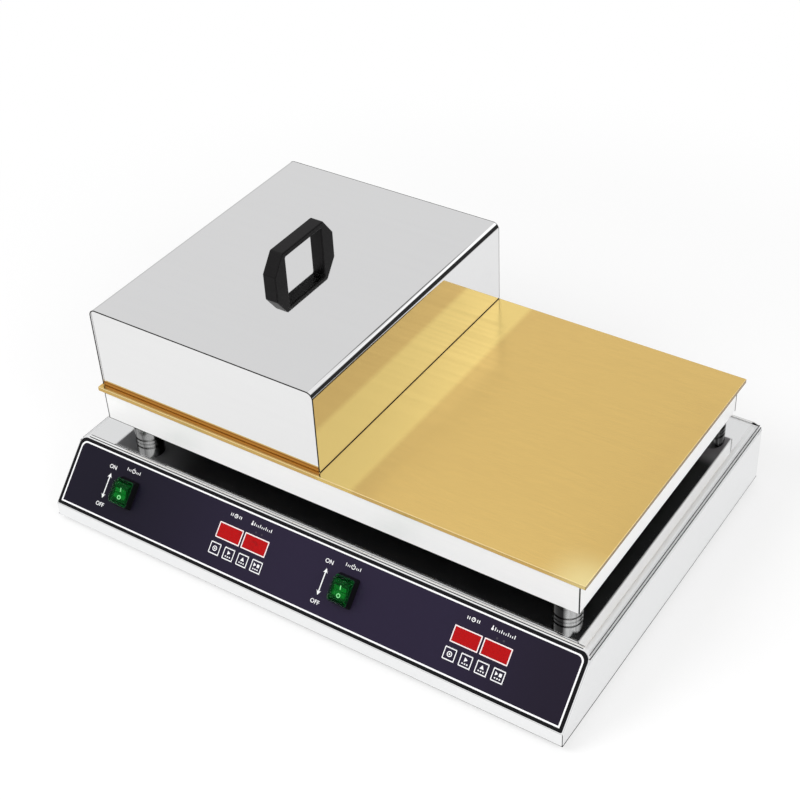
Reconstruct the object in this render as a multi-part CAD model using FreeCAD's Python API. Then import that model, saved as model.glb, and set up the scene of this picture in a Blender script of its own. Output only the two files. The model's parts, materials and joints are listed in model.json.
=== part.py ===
import FreeCAD, Part
import math
import os

# Twin-zone counter griddle with a lift-off cover, in millimetres.
# x runs to the right, y to the back, z up. The floor is z = 0 and the origin is the
# middle of the rectangle that the whole griddle covers.

# Base
base_width = 640.0
base_depth = 449.0
base_height = 75.0
lip_height = 15.5
panel_run = 57.0
base_sheet = 1.2
base_corner_radius = 9.5
lip_bend_radius = 3.0
front_edge_radius = 1.8
front_return = 5.0
bottom_flange = 18.0
flange_gap = 2.0
rear_tab_width = 14.0
rear_tab_margin = 18.0
cover_fit = 0.2
floor_sheet = 1.0
floor_inset = 3.0

# Rubber feet and their screws
foot_height = 7.0
foot_top_radius = 15.0
foot_low_radius = 13.0
foot_inset_x = 48.0
foot_inset_y = 56.0
foot_screw_radius = 2.5
foot_screw_head_radius = 4.5
foot_screw_head_height = 3.0
foot_head_recess = 1.0
foot_nut_radius = 5.0
foot_nut_height = 5.0

# Sheet screws that hold the rear panel and the bottom plate
screw_radius = 2.0
screw_head_radius = 3.8
screw_head_height = 2.2
screw_grip = 5.0
screw_clearance = 0.1

# Cooling slots
slot_width = 3.5
slot_end_radius = 1.7
slot_length = 30.0
slot_pitch = 9.0
slot_count = 9
slot_group_offset = 120.0

# Cable gland in the rear panel
gland_offset = 235.0
gland_bore_radius = 5.0
gland_thread_radius = 10.0
gland_thread_length = 11.0
gland_hex = 27.0
gland_hex_height = 5.0
gland_cap_radius = 12.5
gland_cap_height = 15.0
gland_cap_round = 4.0
gland_locknut_hex = 26.0
gland_locknut_height = 5.0
thread_fit = 0.1

# Front panel overlay
overlay_sheet = 0.5
overlay_side_margin = 1.9
overlay_low_margin = 1.6
overlay_top_margin = 1.6
overlay_top_radius = 9.0
overlay_low_radius = 1.5

# Control groups: distances from the middle of each group, along and up the panel
group_pitch = 291.0
switch_offset = -90.7
cluster_offset = 67.0
display_rise = 5.7
display_pitch = 33.5
window_width = 28.8
window_height = 15.0
window_seat = 1.2
window_fit = 0.1
cutout_corner_radius = 1.0
module_width = 31.0
module_height = 16.5
module_gap = 0.2
key_drop = 14.6
key_pitch = 18.2
key_width = 13.4
key_height = 12.8
key_sheet = 0.5
key_fit = 0.3
key_travel = 0.4
key_floor_gap = 0.05
key_corner_radius = 0.8
key_stem_radius = 2.0
key_stem_engage = 1.0
stem_fit = 0.1
keys_per_group = 4

# Control boards behind the panel
board_gap = 7.0
board_sheet = 1.6
board_width = 84.0
board_height = 54.0
board_stud_inset = 4.0
stud_radius = 1.5
spacer_radius = 3.0
board_nut_hex = 5.5
board_nut_height = 2.4
stud_tail = 1.0
tact_width = 6.0
tact_height = 3.5
tact_well = 2.5
transformer_size = (24.0, 20.0, 16.0)
connector_size = (22.0, 8.0, 10.0)
board_part_spread = 34.0

# Rocker switches
switch_width = 26.0
switch_height = 32.0
switch_frame_height = 9.0
switch_frame_draft = 1.6
switch_frame_round = 2.5
switch_cutout_width = 22.0
switch_cutout_height = 30.0
switch_body_fit = 0.1
switch_body_depth = 24.0
switch_well_width = 19.4
switch_well_depth = 6.5
rocker_side_gap = 0.2
rocker_end_gap = 0.35
rocker_end_radius = 12.2
rocker_pivot_height = 3.5
rocker_crown = 7.0
rocker_belly = 2.5
rocker_tilt = 10.0
pivot_radius = 1.5
pivot_length = 0.9
pivot_fit = 0.05
pivot_end_gap = 0.15
cap_height = 9.0
cap_draft = 2.0
cap_wall = 1.0
cap_round = 2.2
blade_width = 6.3
blade_sheet = 0.8
blade_length = 9.0
blade_pitch = 10.0
blades_per_switch = 2

# Legs between the base and the heater box
leg_height = 19.5
leg_radius = 15.3
leg_groove_depth = 1.8
leg_groove_low = 4.0
leg_groove_high = 6.5
leg_chamfer = 0.8
leg_inset_x = 31.0
leg_shift_x = 11.5
leg_inset_y = 14.0
leg_bolt_radius = 4.0
leg_bolt_hex = 13.0
leg_bolt_head = 5.3
leg_nut_height = 6.5
leg_bolt_tail = 2.0

# Heater box and griddle plate
plate_width = 600.0
plate_depth = 363.0
plate_thickness = 5.0
plate_edge_chamfer = 0.5
plate_setback = 75.5
plate_overhang = 6.5
plate_front_overhang = 2.2
heater_height = 36.5
heater_sheet = 1.2
heater_flange = 12.0
zone_pitch = 291.0

# Heating elements
element_radius = 4.0
element_runs = 4
element_run_pitch = 62.0
element_front_margin = 60.0
element_rear_margin = 75.0
element_tail_radius = 12.0
element_tail_drop = 14.0
element_seat = 0.1
clamp_width = 18.0
clamp_sheet = 3.0
clamp_end = 12.0
clamp_spread = 120.0
clamp_stud_radius = 3.0
clamp_stud_tail = 2.0
clamp_nut_hex = 10.0
clamp_nut_height = 5.0
insulation_thickness = 12.0
insulation_hole_gap = 0.5
sleeve_radius = 9.0
sleeve_bore_gap = 1.0

# Sensors under the plate
probe_radius = 2.5
probe_length = 46.0
probe_block_width = 14.0
probe_block_length = 22.0
probe_block_height = 9.0
probe_fit = 0.05
probe_offset = -28.0
limit_radius = 8.0
limit_height = 9.0
limit_flange_length = 32.0
limit_flange_width = 12.0
limit_flange_sheet = 1.5
limit_offset = 28.0

# Relays, terminal blocks and leads in the base
relay_width = 45.0
relay_length = 58.0
relay_height = 24.0
relay_base_sheet = 3.0
relay_inset = 6.0
relay_slot_radius = 2.2
block_width = 26.0
block_length = 40.0
block_height = 22.0
block_step_width = 5.0
block_step_depth = 8.0
lead_radius = 1.5

# Cover
lid_width = 291.0
lid_depth = 357.0
lid_height = 101.3
lid_sheet = 1.2
lid_bend_radius = 8.0
lid_side_inset = 3.1
lid_front_inset = 6.0
lid_plate_recess = 0.8
lid_plate_gap = 1.2

# Handle of the cover
handle_length = 106.0
handle_top_length = 74.0
handle_height = 38.0
handle_shoulder = 16.0
handle_width = 17.0
handle_bar = 7.0
handle_opening = 65.0
handle_inner_radius = 1.5
handle_outer_radius = 3.0
handle_edge_radius = 1.5
handle_screw_radius = 2.5
handle_screw_head_radius = 5.0
handle_screw_head_height = 3.0
handle_screw_depth = 10.0

# Places worked out from the sizes above
gland_projection = gland_hex_height + gland_cap_height
front_y = -(base_depth + gland_projection) / 2
back_y = front_y + base_depth
base_low = foot_height + floor_sheet
base_top = base_low + base_height
bend_z = base_low + lip_height
panel_rise = base_height - lip_height
panel_length = math.hypot(panel_run, panel_rise)
panel_angle = math.degrees(math.atan2(panel_rise, panel_run))
panel_middle = panel_length / 2
wall_x = base_width / 2 - base_sheet
heater_low = base_top + leg_height
plate_low = heater_low + heater_height
plate_top = plate_low + plate_thickness
plate_front = front_y + plate_setback
plate_back = plate_front + plate_depth
plate_middle = (plate_front + plate_back) / 2
heater_half = plate_width / 2 - plate_overhang
heater_front = plate_front + plate_front_overhang
heater_back = plate_back - plate_overhang
heater_floor = heater_low + heater_sheet
lid_left = -plate_width / 2 + lid_side_inset
lid_front = plate_front + lid_front_inset
lid_middle_x = lid_left + lid_width / 2
lid_middle_y = lid_front + lid_depth / 2
lid_top = plate_top + lid_height
tail_low = base_top - element_tail_drop
board_front = -base_sheet - board_gap
board_back = board_front - board_sheet
key_low = key_travel + key_floor_gap

UP = FreeCAD.Vector(0, 0, 1)
BACK = FreeCAD.Vector(0, 1, 0)
RIGHT = FreeCAD.Vector(1, 0, 0)


def vec(x, y, z):
    return FreeCAD.Vector(x, y, z)


def block(x0, x1, y0, y1, z0, z1):
    return Part.makeBox(x1 - x0, y1 - y0, z1 - z0, vec(x0, y0, z0))


def rod(radius, length, start, axis=UP):
    return Part.makeCylinder(radius, length, start, axis)


def tube(outer, inner, length, start, axis=UP):
    return rod(outer, length, start, axis).cut(rod(inner, length, start, axis))


def hexagon(flats, height, start, axis=UP):
    corner = flats / math.sqrt(3)
    points = []
    for step in range(7):
        turn = math.radians(60 * step)
        points.append(vec(corner * math.cos(turn), corner * math.sin(turn), 0))
    prism = Part.Face(Part.makePolygon(points)).extrude(vec(0, 0, height))
    prism.Placement = FreeCAD.Placement(start, FreeCAD.Rotation(UP, axis))
    return prism


def nut(flats, height, bore, start, axis=UP):
    return hexagon(flats, height, start, axis).cut(rod(bore, height, start, axis))


def headed_screw(head_radius, head_height, radius, length, seat, axis):
    # The head lies behind the seat and the shank runs along the axis.
    head = rod(head_radius, head_height, seat, axis * -1)
    return head.fuse(rod(radius, length, seat, axis)).removeSplitter()


def rounded_plate(width, height, radius, thickness, low=0.0):
    # A plate centred on the origin in x and y, with round corners.
    plate = block(-width / 2, width / 2, -height / 2, height / 2, low, low + thickness)
    return plate.makeFillet(radius, upright_edges(plate))


def upright_edges(solid):
    return [edge for edge in solid.Edges if abs(edge.tangentAt(edge.FirstParameter).z) > 0.9]


def rises_at(edge, y):
    return near(edge.Vertexes[0].Point.y, y)


def along_x(edge):
    return abs(edge.tangentAt(edge.FirstParameter).x) > 0.9


def along_y(edge):
    return abs(edge.tangentAt(edge.FirstParameter).y) > 0.9


def edges_at(solid, test):
    return [edge for edge in solid.Edges if all(test(vertex.Point) for vertex in edge.Vertexes)]


def near(first, second):
    return abs(first - second) < 1e-4


def joined(shapes):
    return shapes[0].multiFuse(shapes[1:]).removeSplitter()


def on_panel(shape, along=0.0, up=0.0, out=0.0):
    # Panel frame: x along the panel, y up its slope, z out of it; zero is the lip's bend line.
    placed = shape.copy()
    tilt = FreeCAD.Rotation(RIGHT, panel_angle)
    panel = FreeCAD.Placement(vec(0, front_y, bend_z), tilt)
    move = FreeCAD.Placement(vec(along, up, out), FreeCAD.Rotation())
    placed.Placement = panel.multiply(move).multiply(shape.Placement)
    return placed


def moved(shape, x, y, z):
    placed = shape.copy()
    placed.translate(vec(x, y, z))
    return placed


def save(name, solids):
    shape = solids[0] if len(solids) == 1 else Part.makeCompound(solids)
    shape.exportStep(os.path.join("parts", name + ".step"))


SIDES = {"left": -1, "right": 1}


def group_x(side):
    return SIDES[side] * group_pitch / 2


def switch_x(side):
    return group_x(side) + switch_offset


def cluster_x(side):
    return group_x(side) + cluster_offset


def zone_x(side):
    return SIDES[side] * zone_pitch / 2


# Base

def front_height(y, inset):
    # Height of the sloped front at y, when it is drawn in by inset.
    return bend_z + (y - front_y) * panel_rise / panel_run - inset * panel_length / panel_run


def front_place(z, inset):
    return front_y + (z - bend_z + inset * panel_length / panel_run) * panel_run / panel_rise


def side_profile(inset, top, back, low, half):
    lip = front_y + inset
    points = [
        vec(-half, lip, low),
        vec(-half, lip, front_height(lip, inset)),
        vec(-half, front_place(top, inset), top),
        vec(-half, back, top),
        vec(-half, back, low),
    ]
    points.append(points[0])
    return Part.Face(Part.makePolygon(points)).extrude(vec(2 * half, 0, 0))


def base_form(inset, overrun):
    # The base as a full body, drawn in by inset; its bottom and back run on by overrun.
    half = base_width / 2 - inset
    top = base_top - inset
    solid = side_profile(inset, top, back_y + overrun, base_low - overrun, half)
    lip = front_y + inset
    bend = edges_at(solid, lambda p: near(p.y, lip) and near(p.z, front_height(lip, inset)))
    solid = solid.makeFillet(lip_bend_radius - inset, bend)
    top_sides = edges_at(solid, lambda p: near(abs(p.x), half) and near(p.z, top))
    solid = solid.makeFillet(base_corner_radius - inset, top_sides)
    front_faces = [face for face in solid.Faces if faces_front(face)]
    rim = outer_edges(front_faces)
    rim = [edge for edge in rim if edge.BoundBox.ZMax > base_low]
    return solid.makeFillet(front_edge_radius - inset, rim)


def faces_front(face):
    low_u, high_u, low_v, high_v = face.ParameterRange
    normal = face.normalAt((low_u + high_u) / 2, (low_v + high_v) / 2)
    return normal.y < -0.3


def outer_edges(faces):
    # Edges that only one of the faces has.
    edges = [edge for face in faces for edge in face.Edges]
    return [edge for edge in edges if sum(edge.isSame(other) for other in edges) == 1]


def base_skin():
    margin = base_sheet
    return base_form(0.0, 0.0).cut(base_form(base_sheet, margin))


def behind_front():
    # Everything behind the seam where the front panel meets the shell.
    spare = base_sheet
    return side_profile(front_return, base_top + spare, back_y + spare, base_low - spare, base_width)


def rear_tab(side):
    x0 = wall_x - rear_tab_width if side > 0 else -wall_x
    y1 = back_y - base_sheet
    return block(x0, x0 + rear_tab_width, y1 - base_sheet, y1,
                 base_low + rear_tab_margin, base_top - rear_tab_margin)


def side_ledge(side):
    # Strip along the foot of a side wall, which the bottom plate is screwed to.
    x0 = wall_x - bottom_flange if side > 0 else -wall_x
    y0 = front_y + bottom_flange + flange_gap
    strip = block(x0, x0 + bottom_flange, y0, back_y - base_sheet - flange_gap,
                  base_low, base_low + base_sheet)
    return strip.cut(screw_holes())


def rear_screw_places():
    x = wall_x - rear_tab_width / 2
    low = base_low + rear_tab_margin + rear_tab_width / 2
    high = base_top - rear_tab_margin - rear_tab_width / 2
    return [vec(side * x, back_y, z) for side in (-1, 1) for z in (low, high)]


def bottom_screw_places():
    x = wall_x - bottom_flange / 2
    y_front = front_y + bottom_flange / 2
    y_rear = back_y - bottom_flange / 2
    middle = (front_y + back_y) / 2
    reach = base_depth / 4
    inner = base_width / 4
    places = [vec(side * x, middle + step * reach, foot_height) for side in (-1, 1) for step in (-1, 0, 1)]
    places += [vec(side * inner, y, foot_height) for side in (-1, 1) for y in (y_front, y_rear)]
    return places


def screw_holes():
    bore = screw_radius + screw_clearance
    holes = [rod(bore, 2 * screw_grip, place - BACK * screw_grip, BACK) for place in rear_screw_places()]
    holes += [rod(bore, 2 * screw_grip, place - UP * screw_grip) for place in bottom_screw_places()]
    return holes


def leg_places():
    x = heater_half - leg_inset_x
    return [vec(side * x + leg_shift_x, y, base_top) for side in (-1, 1)
            for y in (heater_front + leg_inset_y, heater_back - leg_inset_y)]


def tail_places():
    reach = (element_runs - 1) * element_run_pitch / 2
    y = heater_back - element_rear_margin + element_tail_radius
    return [vec(zone_x(side) + step * reach, y, base_top) for side in SIDES for step in (-1, 1)]


def sleeve_bore():
    return element_radius + sleeve_bore_gap


def deck_holes():
    # Holes for the leg bolts and the element tails, through the base top and the heater bottom.
    span = leg_height + 2 * base_sheet + 2 * heater_sheet
    start = UP * -2 * base_sheet
    holes = [rod(leg_bolt_radius + screw_clearance, span, place + start) for place in leg_places()]
    holes += [rod(sleeve_bore(), span, place + start) for place in tail_places()]
    return holes


def base_shell(skin):
    shell = joined([skin.common(behind_front())] + [rear_tab(side) for side in (-1, 1)])
    return shell.cut(screw_holes() + deck_holes())


def panel_cutouts():
    cuts = []
    for side in SIDES:
        cut = rounded_plate(switch_cutout_width, switch_cutout_height, cutout_corner_radius,
                            2 * front_return, -front_return)
        cuts.append(on_panel(cut, switch_x(side), panel_middle))
        for step in (-1, 1):
            hole = rounded_plate(window_width - 2 * window_seat, window_height - 2 * window_seat,
                                 cutout_corner_radius, 2 * front_return, -front_return)
            cuts.append(on_panel(hole, display_x(side, step), panel_middle + display_rise))
        for number in range(keys_per_group):
            hole = rod(key_stem_radius + stem_fit, 2 * front_return, vec(0, 0, -front_return))
            cuts.append(on_panel(hole, key_x(side, number), panel_middle - key_drop))
    return cuts


def display_x(side, step):
    return cluster_x(side) + step * display_pitch / 2


def key_x(side, number):
    return cluster_x(side) + (number - (keys_per_group - 1) / 2) * key_pitch


def board_studs(side):
    length = board_gap + board_sheet + board_nut_height + stud_tail
    stud = rod(stud_radius, length, vec(0, 0, -base_sheet - length))
    return [on_panel(stud, x, y) for x, y in stud_places(side)]


def stud_places(side):
    x = board_width / 2 - board_stud_inset
    y = board_height / 2 - board_stud_inset
    return [(cluster_x(side) + i * x, panel_middle + j * y) for i in (-1, 1) for j in (-1, 1)]


def front_panel(skin):
    panel = skin.cut(behind_front())
    half = wall_x - front_return
    flange = block(-half, half, front_y + base_sheet, front_y + bottom_flange,
                   base_low, base_low + base_sheet)
    studs = [stud for side in SIDES for stud in board_studs(side)]
    return joined([panel, flange] + studs).cut(screw_holes() + panel_cutouts())


def rear_panel():
    half = wall_x - cover_fit
    top = base_top - base_sheet - cover_fit
    sheet = block(-half, half, back_y - base_sheet, back_y, base_low, top)
    corners = [edge for edge in edges_at(sheet, lambda p: near(p.z, top)) if along_y(edge)]
    sheet = sheet.makeFillet(base_corner_radius - base_sheet, corners)
    inner = wall_x - bottom_flange - flange_gap
    flange = block(-inner, inner, back_y - bottom_flange, back_y - base_sheet,
                   base_low, base_low + base_sheet)
    slots = [upright_slot(x, gland_middle().z) for x in slot_places()]
    hole = rod(gland_thread_radius + thread_fit, base_sheet, gland_middle(), BACK * -1)
    return joined([sheet, flange]).cut(screw_holes() + slots + [hole])


def slot_places():
    steps = [step - (slot_count - 1) / 2 for step in range(slot_count)]
    return [group * slot_group_offset + step * slot_pitch for group in (-1, 1) for step in steps]


def slot_form():
    return rounded_plate(slot_width, slot_length, slot_end_radius, 4 * base_sheet, -2 * base_sheet)


def upright_slot(x, z):
    slot = slot_form()
    slot.Placement = FreeCAD.Placement(vec(x, back_y, z), FreeCAD.Rotation(RIGHT, 90))
    return slot


def foot_places():
    x = base_width / 2 - foot_inset_x
    rows = (front_y + foot_inset_y, back_y - foot_inset_y)
    return [vec(side * x, y, 0) for side in (-1, 1) for y in rows]


def bottom_plate():
    half = base_width / 2 - floor_inset
    sheet = block(-half, half, front_y + floor_inset, back_y - floor_inset, foot_height, base_low)
    nuts = [rod(foot_nut_radius, foot_nut_height, place + UP * base_low) for place in foot_places()]
    bores = [rod(foot_screw_radius + screw_clearance, base_low + foot_nut_height + floor_sheet, place)
             for place in foot_places()]
    middle = (front_y + back_y) / 2
    slots = [moved(slot_form(), x, middle, foot_height) for x in slot_places()]
    return joined([sheet] + nuts).cut(bores + screw_holes() + slots)


def foot(place):
    cone = Part.makeCone(foot_low_radius, foot_top_radius, foot_height, place)
    recess = foot_head_recess + foot_screw_head_height
    well = rod(foot_screw_head_radius + screw_clearance, recess, place)
    bore = rod(foot_screw_radius + screw_clearance, foot_height, place)
    return cone.cut([well, bore])


def foot_screw(place):
    seat = foot_head_recess + foot_screw_head_height
    length = base_low + foot_nut_height - seat
    return headed_screw(foot_screw_head_radius, foot_screw_head_height, foot_screw_radius, length,
                        place + UP * seat, UP)


def cover_screws():
    screws = [headed_screw(screw_head_radius, screw_head_height, screw_radius, screw_grip, place, BACK * -1)
              for place in rear_screw_places()]
    screws += [headed_screw(screw_head_radius, screw_head_height, screw_radius, screw_grip, place, UP)
               for place in bottom_screw_places()]
    return screws


# Cable gland

def gland_middle():
    return vec(gland_offset, back_y, (base_low + base_top) / 2)


def gland_body():
    hexed = hexagon(gland_hex, gland_hex_height, gland_middle(), BACK)
    thread = rod(gland_thread_radius, gland_thread_length, gland_middle(), BACK * -1)
    length = gland_hex_height + gland_thread_length
    bore = rod(gland_bore_radius, length, gland_middle() - BACK * gland_thread_length, BACK)
    return joined([hexed, thread]).cut(bore)


def gland_cap():
    seat = gland_middle() + BACK * gland_hex_height
    dome = rod(gland_cap_radius, gland_cap_height, seat, BACK)
    end = seat.y + gland_cap_height
    rim = edges_at(dome, lambda p: near(p.y, end))
    dome = dome.makeFillet(gland_cap_round, [edge for edge in rim if not along_y(edge)])
    return dome.cut(rod(gland_bore_radius, gland_cap_height, seat, BACK))


def gland_locknut():
    seat = gland_middle() - BACK * base_sheet
    return nut(gland_locknut_hex, gland_locknut_height, gland_thread_radius + thread_fit, seat, BACK * -1)


# Control panel

def overlay():
    half = base_width / 2 - overlay_side_margin
    top = panel_length - overlay_top_margin
    sheet = block(-half, half, overlay_low_margin, top, 0, overlay_sheet)
    top_edges = [edge for edge in upright_edges(sheet) if rises_at(edge, top)]
    sheet = sheet.makeFillet(overlay_top_radius, top_edges)
    low_edges = [edge for edge in upright_edges(sheet) if rises_at(edge, overlay_low_margin)]
    sheet = sheet.makeFillet(overlay_low_radius, low_edges)
    cuts = []
    for side in SIDES:
        hole = rounded_plate(switch_cutout_width, switch_cutout_height, cutout_corner_radius,
                             overlay_sheet)
        cuts.append(moved(hole, switch_x(side), panel_middle, 0))
        for step in (-1, 1):
            hole = block(-window_width / 2, window_width / 2, -window_height / 2, window_height / 2,
                         0, overlay_sheet)
            cuts.append(moved(hole, display_x(side, step), panel_middle + display_rise, 0))
        for number in range(keys_per_group):
            hole = rounded_plate(key_width + 2 * key_fit, key_height + 2 * key_fit, key_corner_radius,
                                 overlay_sheet)
            cuts.append(moved(hole, key_x(side, number), panel_middle - key_drop, 0))
    return on_panel(sheet.cut(cuts))


def display_windows(side):
    width = window_width - 2 * window_fit
    height = window_height - 2 * window_fit
    lens = block(-width / 2, width / 2, -height / 2, height / 2, 0, overlay_sheet)
    return [on_panel(lens, display_x(side, step), panel_middle + display_rise) for step in (-1, 1)]


def display_modules(side):
    depth = board_gap - module_gap
    module = block(-module_width / 2, module_width / 2, -module_height / 2, module_height / 2,
                   board_front, board_front + depth)
    return [on_panel(module, display_x(side, step), panel_middle + display_rise) for step in (-1, 1)]


def key(side, number):
    pad = rounded_plate(key_width, key_height, key_corner_radius, key_sheet, key_low)
    stem_end = board_front + tact_height - key_stem_engage
    stem = rod(key_stem_radius, key_low - stem_end, vec(0, 0, stem_end))
    return on_panel(joined([pad, stem]), key_x(side, number), panel_middle - key_drop)


def control_board(side):
    middle = panel_middle
    sheet = block(-board_width / 2, board_width / 2, -board_height / 2, board_height / 2,
                  board_back, board_front)
    solid = moved(sheet, cluster_x(side), middle, 0)
    pieces = [solid]
    bores = []
    for number in range(keys_per_group):
        case = block(-tact_width / 2, tact_width / 2, -tact_width / 2, tact_width / 2,
                     board_front, board_front + tact_height)
        pieces.append(moved(case, key_x(side, number), middle - key_drop, 0))
        well = rod(key_stem_radius + stem_fit, tact_well, vec(0, 0, board_front + tact_height - tact_well))
        bores.append(moved(well, key_x(side, number), middle - key_drop, 0))
    for size, step in ((transformer_size, -1), (connector_size, 1)):
        width, height, depth = size
        part = block(-width / 2, width / 2, -height / 2, height / 2, board_back - depth, board_back)
        pieces.append(moved(part, cluster_x(side) + step * board_part_spread / 2, middle, 0))
    for x, y in stud_places(side):
        bores.append(rod(stud_radius + thread_fit, board_sheet, vec(x, y, board_back)))
    return on_panel(joined(pieces).cut(bores))


def board_spacers():
    spacer = tube(spacer_radius, stud_radius + thread_fit, board_gap, vec(0, 0, board_front))
    return [on_panel(spacer, x, y) for side in SIDES for x, y in stud_places(side)]


def board_nuts():
    seat = vec(0, 0, board_back)
    fastener = nut(board_nut_hex, board_nut_height, stud_radius + thread_fit, seat, UP * -1)
    return [on_panel(fastener, x, y) for side in SIDES for x, y in stud_places(side)]


# Rocker switches: built about their own middle, z out of the panel

def switch_body(side):
    low = overlay_sheet
    frame = frustum(switch_width, switch_height, switch_frame_draft, low, switch_frame_height)
    body_width = switch_cutout_width - 2 * switch_body_fit
    body_height = switch_cutout_height - 2 * switch_body_fit
    body = rounded_plate(body_width, body_height, cutout_corner_radius, switch_body_depth + low,
                         -switch_body_depth)
    top = low + switch_frame_height
    well_half = rocker_end_radius + rocker_end_gap
    well = block(-switch_well_width / 2, switch_well_width / 2, -well_half, well_half,
                 -switch_well_depth, top)
    socket = switch_well_width / 2 + pivot_length + pivot_end_gap
    sockets = rod(pivot_radius + pivot_fit, 2 * socket, vec(-socket, 0, rocker_pivot_height), RIGHT)
    return on_panel(joined([frame, body]).cut([well, sockets]), switch_x(side), panel_middle)


def frustum(width, height, draft, low, rise):
    # A block with round corners that narrows by draft on each side as it rises.
    lower = rounded_outline(width, height, switch_frame_round, low)
    upper = rounded_outline(width - 2 * draft, height - 2 * draft, switch_frame_round, low + rise)
    return Part.makeLoft([lower, upper], True, True)


def rounded_outline(width, height, radius, z):
    plate = rounded_plate(width, height, radius, 1.0, z)
    face = [face for face in plate.Faces if near(face.CenterOfMass.z, z)][0]
    return face.OuterWire


def rocker(side):
    half = switch_well_width / 2 - rocker_side_gap
    end = rocker_end_radius
    slope = math.tan(math.radians(rocker_tilt))
    height = rocker_pivot_height
    points = [
        vec(-half, -2 * end, height - rocker_belly),
        vec(-half, -2 * end, height + rocker_crown + 2 * end * slope),
        vec(-half, 0, height + rocker_crown),
        vec(-half, 2 * end, height + rocker_crown + 2 * end * slope),
        vec(-half, 2 * end, height - rocker_belly),
    ]
    points.append(points[0])
    saddle = Part.Face(Part.makePolygon(points)).extrude(vec(2 * half, 0, 0))
    saddle = saddle.common(rod(end, 2 * half, vec(-half, 0, height), RIGHT))
    reach = switch_well_width / 2 + pivot_length
    pins = rod(pivot_radius, 2 * reach, vec(-reach, 0, height), RIGHT)
    solid = joined([saddle, pins])
    solid.rotate(vec(0, 0, height), RIGHT, rocker_tilt)
    return on_panel(solid, switch_x(side), panel_middle)


def switch_cap(side):
    low = overlay_sheet + switch_frame_height
    width = switch_width - 2 * switch_frame_draft
    height = switch_height - 2 * switch_frame_draft
    outer = frustum(width, height, cap_draft, low, cap_height)
    top = low + cap_height
    outer = outer.makeFillet(cap_round, edges_at(outer, lambda p: near(p.z, top)))
    hollow = cap_height - cap_wall
    inner = frustum(width - 2 * cap_wall, height - 2 * cap_wall, cap_draft * hollow / cap_height, low, hollow)
    inner_top = low + hollow
    inner = inner.makeFillet(cap_round - cap_wall, edges_at(inner, lambda p: near(p.z, inner_top)))
    return on_panel(outer.cut(inner), switch_x(side), panel_middle)


def switch_terminals():
    blades = []
    for side in SIDES:
        for number in range(blades_per_switch):
            up = (number - (blades_per_switch - 1) / 2) * blade_pitch
            blade = block(-blade_width / 2, blade_width / 2, -blade_sheet / 2, blade_sheet / 2,
                          -switch_body_depth - blade_length, -switch_body_depth)
            blades.append(on_panel(blade, switch_x(side), panel_middle + up))
    return blades


# Legs, heater box and plate

def leg(place):
    groove = leg_radius - leg_groove_depth
    outline = [
        (leg_bolt_radius + screw_clearance, 0),
        (leg_radius - leg_chamfer, 0),
        (leg_radius, leg_chamfer),
        (leg_radius, leg_groove_low),
        (groove, leg_groove_low),
        (groove, leg_groove_high),
        (leg_radius, leg_groove_high),
        (leg_radius, leg_height - leg_chamfer),
        (leg_radius - leg_chamfer, leg_height),
        (leg_bolt_radius + screw_clearance, leg_height),
    ]
    points = [vec(r, 0, z) for r, z in outline]
    points.append(points[0])
    turned = Part.Face(Part.makePolygon(points)).revolve(vec(0, 0, 0), UP, 360)
    return moved(turned, place.x, place.y, place.z)


def leg_bolt(place):
    seat = place - UP * base_sheet
    length = base_sheet + leg_height + heater_sheet + leg_nut_height + leg_bolt_tail
    head = hexagon(leg_bolt_hex, leg_bolt_head, seat, UP * -1)
    return joined([head, rod(leg_bolt_radius, length, seat)])


def leg_nut(place):
    seat = vec(place.x, place.y, heater_floor)
    return nut(leg_bolt_hex, leg_nut_height, leg_bolt_radius + thread_fit, seat)


def griddle_plate():
    plate = block(-plate_width / 2, plate_width / 2, plate_front, plate_back, plate_low, plate_top)
    return plate.makeChamfer(plate_edge_chamfer, edges_at(plate, lambda p: near(p.z, plate_top)))


def heater_housing():
    outer = block(-heater_half, heater_half, heater_front, heater_back, heater_low, plate_low)
    wall = heater_sheet
    inner = block(-heater_half + wall, heater_half - wall, heater_front + wall, heater_back - wall,
                  heater_low, plate_low - wall)
    lip = heater_flange
    mouth = block(-heater_half + lip, heater_half - lip, heater_front + lip, heater_back - lip,
                  heater_low, plate_low)
    return outer.cut([inner, mouth])


def stud_columns(side):
    reach = (element_runs - 2) * element_run_pitch / 2
    return [zone_x(side) - reach, zone_x(side) + reach]


def clamp_rows():
    return [plate_middle - clamp_spread / 2, plate_middle + clamp_spread / 2]


def clamp_stud_places():
    return [vec(x, y, plate_low) for side in SIDES for x in stud_columns(side) for y in clamp_rows()]


def clamp_top():
    return plate_low - 2 * element_radius - 2 * element_seat


def heater_bottom():
    wall = heater_sheet
    sheet = block(-heater_half + wall, heater_half - wall, heater_front + wall, heater_back - wall,
                  heater_low, heater_floor)
    bores = [rod(clamp_stud_radius + screw_clearance, heater_sheet, vec(place.x, place.y, heater_low))
             for place in clamp_stud_places()]
    return sheet.cut(bores + deck_holes())


def element_path(side):
    # From the left tail up, forward and back in turns, and down the right tail.
    z = plate_low - element_seat - element_radius
    y_front = heater_front + element_front_margin
    y_rear = heater_back - element_rear_margin
    bend = element_run_pitch / 2
    first = zone_x(side) - (element_runs - 1) * bend
    last = zone_x(side) + (element_runs - 1) * bend
    edges = tail_edges(first, y_rear, z)
    for run in range(element_runs):
        x = first + run * element_run_pitch
        forward = run % 2 == 0
        start = vec(x, y_rear if forward else y_front, z)
        stop = vec(x, y_front if forward else y_rear, z)
        edges.append(Part.LineSegment(start, stop).toShape())
        if run < element_runs - 1:
            swell = -bend if forward else bend
            middle = vec(x + bend, stop.y + swell, z)
            edges.append(Part.Arc(stop, middle, vec(x + element_run_pitch, stop.y, z)).toShape())
    return edges + [edge.reversed() for edge in reversed(tail_edges(last, y_rear, z))]


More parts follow.
